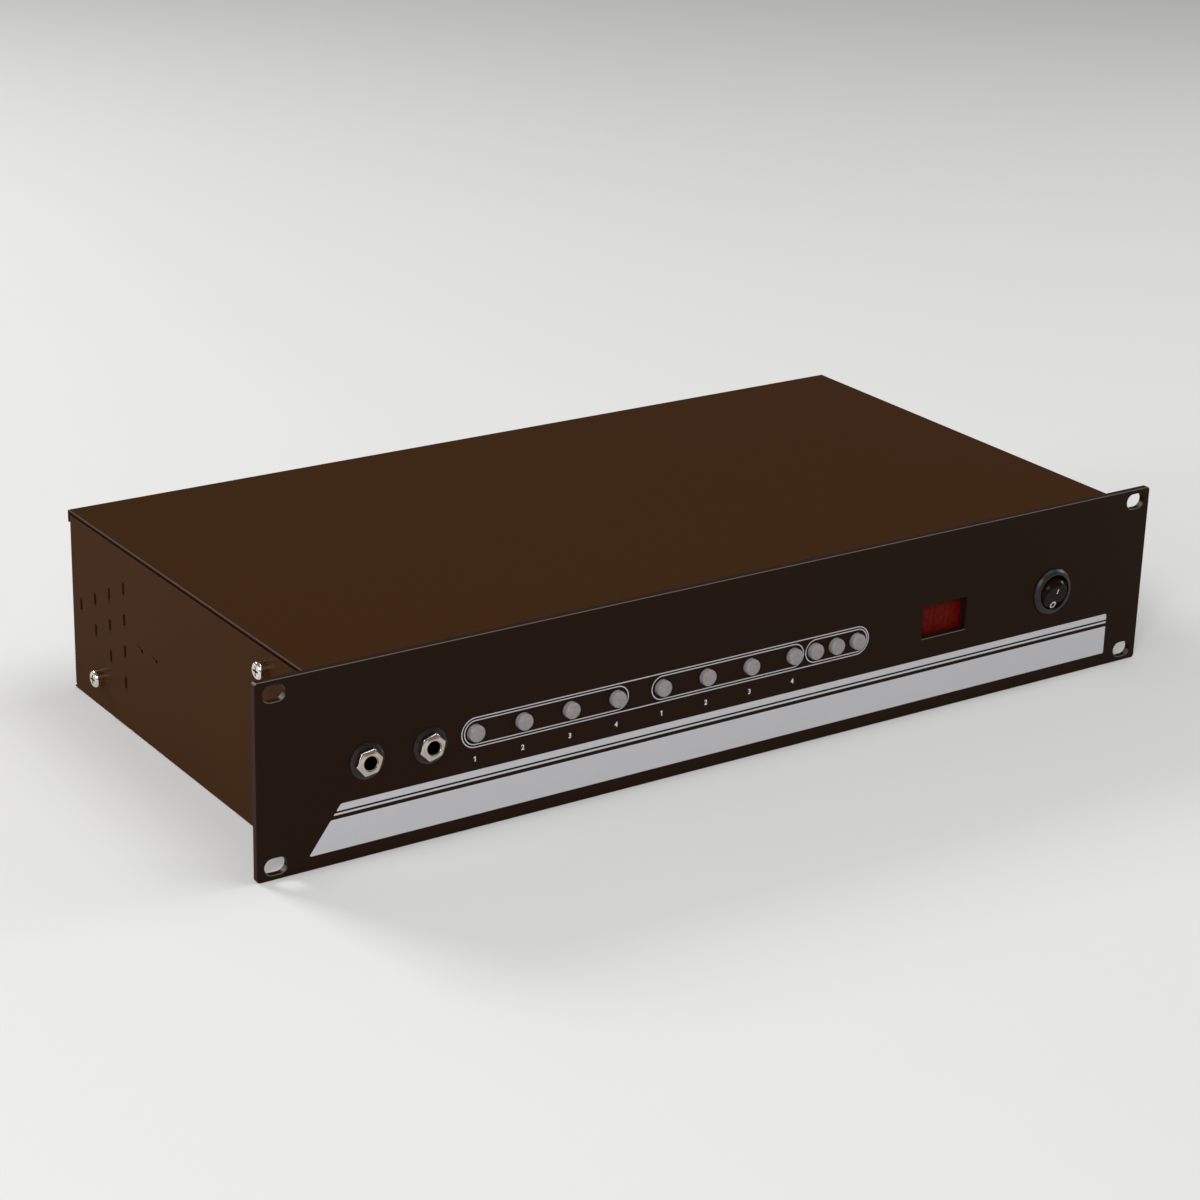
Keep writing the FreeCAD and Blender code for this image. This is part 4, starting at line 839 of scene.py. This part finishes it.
def power_bezel():
    """The round bezel with a soft crown, and its barrel behind the panel."""
    place = frame_matrix((POWER.x, FACE_Y, POWER.z), (0, -1, 0))
    bezel = bmesh.new()
    lathe(bezel, scaled(BEZEL), place, 128)
    piece = new_piece("power_bezel", bezel, "case", BEZEL_BLACK, 50)
    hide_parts("power_switch_body")


def rocker_plane():
    """The plane of the rocker's flat face at rest, with u to the right and v up along the face."""
    pivot = Vector((POWER.x, FACE_Y + PIVOT_DEPTH * MM, POWER.z))
    tilt = Matrix.Rotation(math.radians(ROCKER_TILT), 4, "X")
    upright = frame_matrix((0, 0, 0), (0, -1, 0))
    face = tilt @ upright @ Matrix.Translation((0, 0, ROCKER_FACE * MM))
    return Matrix.Translation(pivot) @ face


def rocker_marks():
    """A ring for off and a bar for on, printed on the rocker."""
    plane = rocker_plane()
    marks = bmesh.new()
    film(marks, oval(*RING_AT, *RING_OUTER, 40), plane, oval(*RING_AT, *RING_INNER, 40))
    (left, right), (low, high) = BAR_U, BAR_V
    corners = [(left, low), (right, low), (right, high), (left, high)]
    film(marks, rounded_outline([(u, v, BAR_CORNER) for u, v in corners]), plane)
    new_piece("rocker_marks", marks, "rocker", WHITE_INK)


# Display, in millimetres

DIGITS = 3
DIGIT_HEIGHT = 11.0
DIGIT_WIDTH = 6.2
DIGIT_PITCH = 9.4
DIGIT_LEAN = 0.12
SEGMENT = 1.5
SEGMENT_GAP = 0.15


def segment_outlines(u0, v0):
    """The seven bars of one digit with its lower left corner at u0, v0, leaning a little to the right."""
    w, h, half = DIGIT_WIDTH, DIGIT_HEIGHT, SEGMENT / 2
    bars = []
    for v in (0.0, h / 2, h):
        a, b = half + SEGMENT_GAP, w - half - SEGMENT_GAP
        bars.append([(a, v), (a + half, v - half), (b - half, v - half)])
        bars[-1] += [(b, v), (b - half, v + half), (a + half, v + half)]
    for u in (0.0, w):
        for base in (0.0, h / 2):
            a, b = base + SEGMENT_GAP, base + h / 2 - SEGMENT_GAP
            bars.append([(u, a), (u + half, a + half), (u + half, b - half)])
            bars[-1] += [(u, b), (u - half, b - half), (u - half, a + half)]
    return [[(u0 + u + v * DIGIT_LEAN, v0 + v) for u, v in bar] for bar in bars]


def display_digits():
    """Three unlit digits that show faintly in the red filter."""
    low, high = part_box("display_filter")
    plane = frame_matrix((0, low.y, 0), (0, -1, 0))
    centre = (low + high) / 2 / MM
    digits = bmesh.new()
    for k in range(DIGITS):
        u0 = centre.x + (k - (DIGITS - 1) / 2) * DIGIT_PITCH - DIGIT_WIDTH / 2
        for outline in segment_outlines(u0, centre.z - DIGIT_HEIGHT / 2):
            film(digits, outline, plane)
    new_piece("display_digits", digits, "case", SEGMENT_RED)


# The room: each light's direction from the object, distance and size in metres, and brightness

LIGHTS = {
    "overhead": ((0.3, -0.16, 0.94), 2.2, (1.4, 1.1), 2.2),
    "front_left": ((-0.55, -0.62, 0.56), 2.6, (1.0, 0.9), 7.0),
    "back_left": ((-0.36, 0.77, 0.53), 2.3, (0.8, 0.6), 12.0),
    "left": ((-0.93, 0.02, 0.3), 2.4, (0.7, 0.7), 8.0),
    "right": ((0.93, -0.1, 0.34), 2.4, (0.7, 0.7), 6.0),
}
SKY_COLOR = (0.95, 0.95, 0.95, 1.0)
SKY_STRENGTH = 0.22
FLOOR_COLOR = (0.78, 0.78, 0.77, 1.0)
FLOOR_HALF = 9.0
FLOOR_DROP = 0.02 * MM


def floor():
    """A plain pale floor."""
    material = Material("pale_floor", FLOOR_COLOR, 0.8, specular=0.1)
    material.vary_color(material.noise(3.0), 0.995, 1.005)
    grid = bmesh.new()
    bmesh.ops.create_grid(grid, x_segments=8, y_segments=8, size=FLOOR_HALF)
    mesh = bpy.data.meshes.new("floor")
    grid.to_mesh(mesh)
    grid.free()
    mesh.materials.append(material.material)
    piece = add_object("floor", mesh)
    piece.location = (0, 0, -FLOOR_DROP)


def softbox(name, direction, distance, size, brightness):
    """A lit rectangle that faces the object from a direction."""
    at = Vector(direction).normalized() * distance
    light = bpy.data.lights.new(name, "AREA")
    light.shape = "RECTANGLE"
    light.size, light.size_y = size
    light.energy = brightness * size[0] * size[1] * 4
    lamp = add_object(name, light)
    lamp.location = at
    lamp.rotation_euler = (-at).to_track_quat("-Z", "Y").to_euler()


def room():
    """The sky, the lights and the floor."""
    world = bpy.data.worlds.new("room")
    world.use_nodes = True
    sky = world.node_tree.nodes["Background"].inputs
    sky["Color"].default_value = SKY_COLOR
    sky["Strength"].default_value = SKY_STRENGTH
    bpy.context.scene.world = world
    for name, values in LIGHTS.items():
        softbox(name, *values)
    floor()


def camera():
    """The camera of the photograph."""
    data = bpy.data.cameras.new("camera")
    data.lens = CAMERA_LENS
    data.sensor_width = CAMERA_SENSOR
    data.clip_start = 0.01
    aim = Matrix.Rotation(math.radians(-CAMERA_AZIMUTH), 4, "Z")
    aim = aim @ Matrix.Rotation(math.radians(90 - CAMERA_DOWN), 4, "X")
    aim = aim @ Matrix.Rotation(math.radians(CAMERA_ROLL), 4, "Z")
    seen = add_object("camera", data)
    seen.matrix_world = Matrix.Translation(CAMERA_AT) @ aim
    bpy.context.scene.camera = seen
    bpy.context.scene.view_settings.view_transform = "Standard"


finish_nodes()
give_material("power_rocker", ROCKER_BLACK)
print_bands()
print_pills()
print_front_numbers()
button_caps()
front_jacks()
power_bezel()
rocker_marks()
display_digits()
cover_seam_shade()
flush_screws()
print_rear_numbers()
room()
camera()
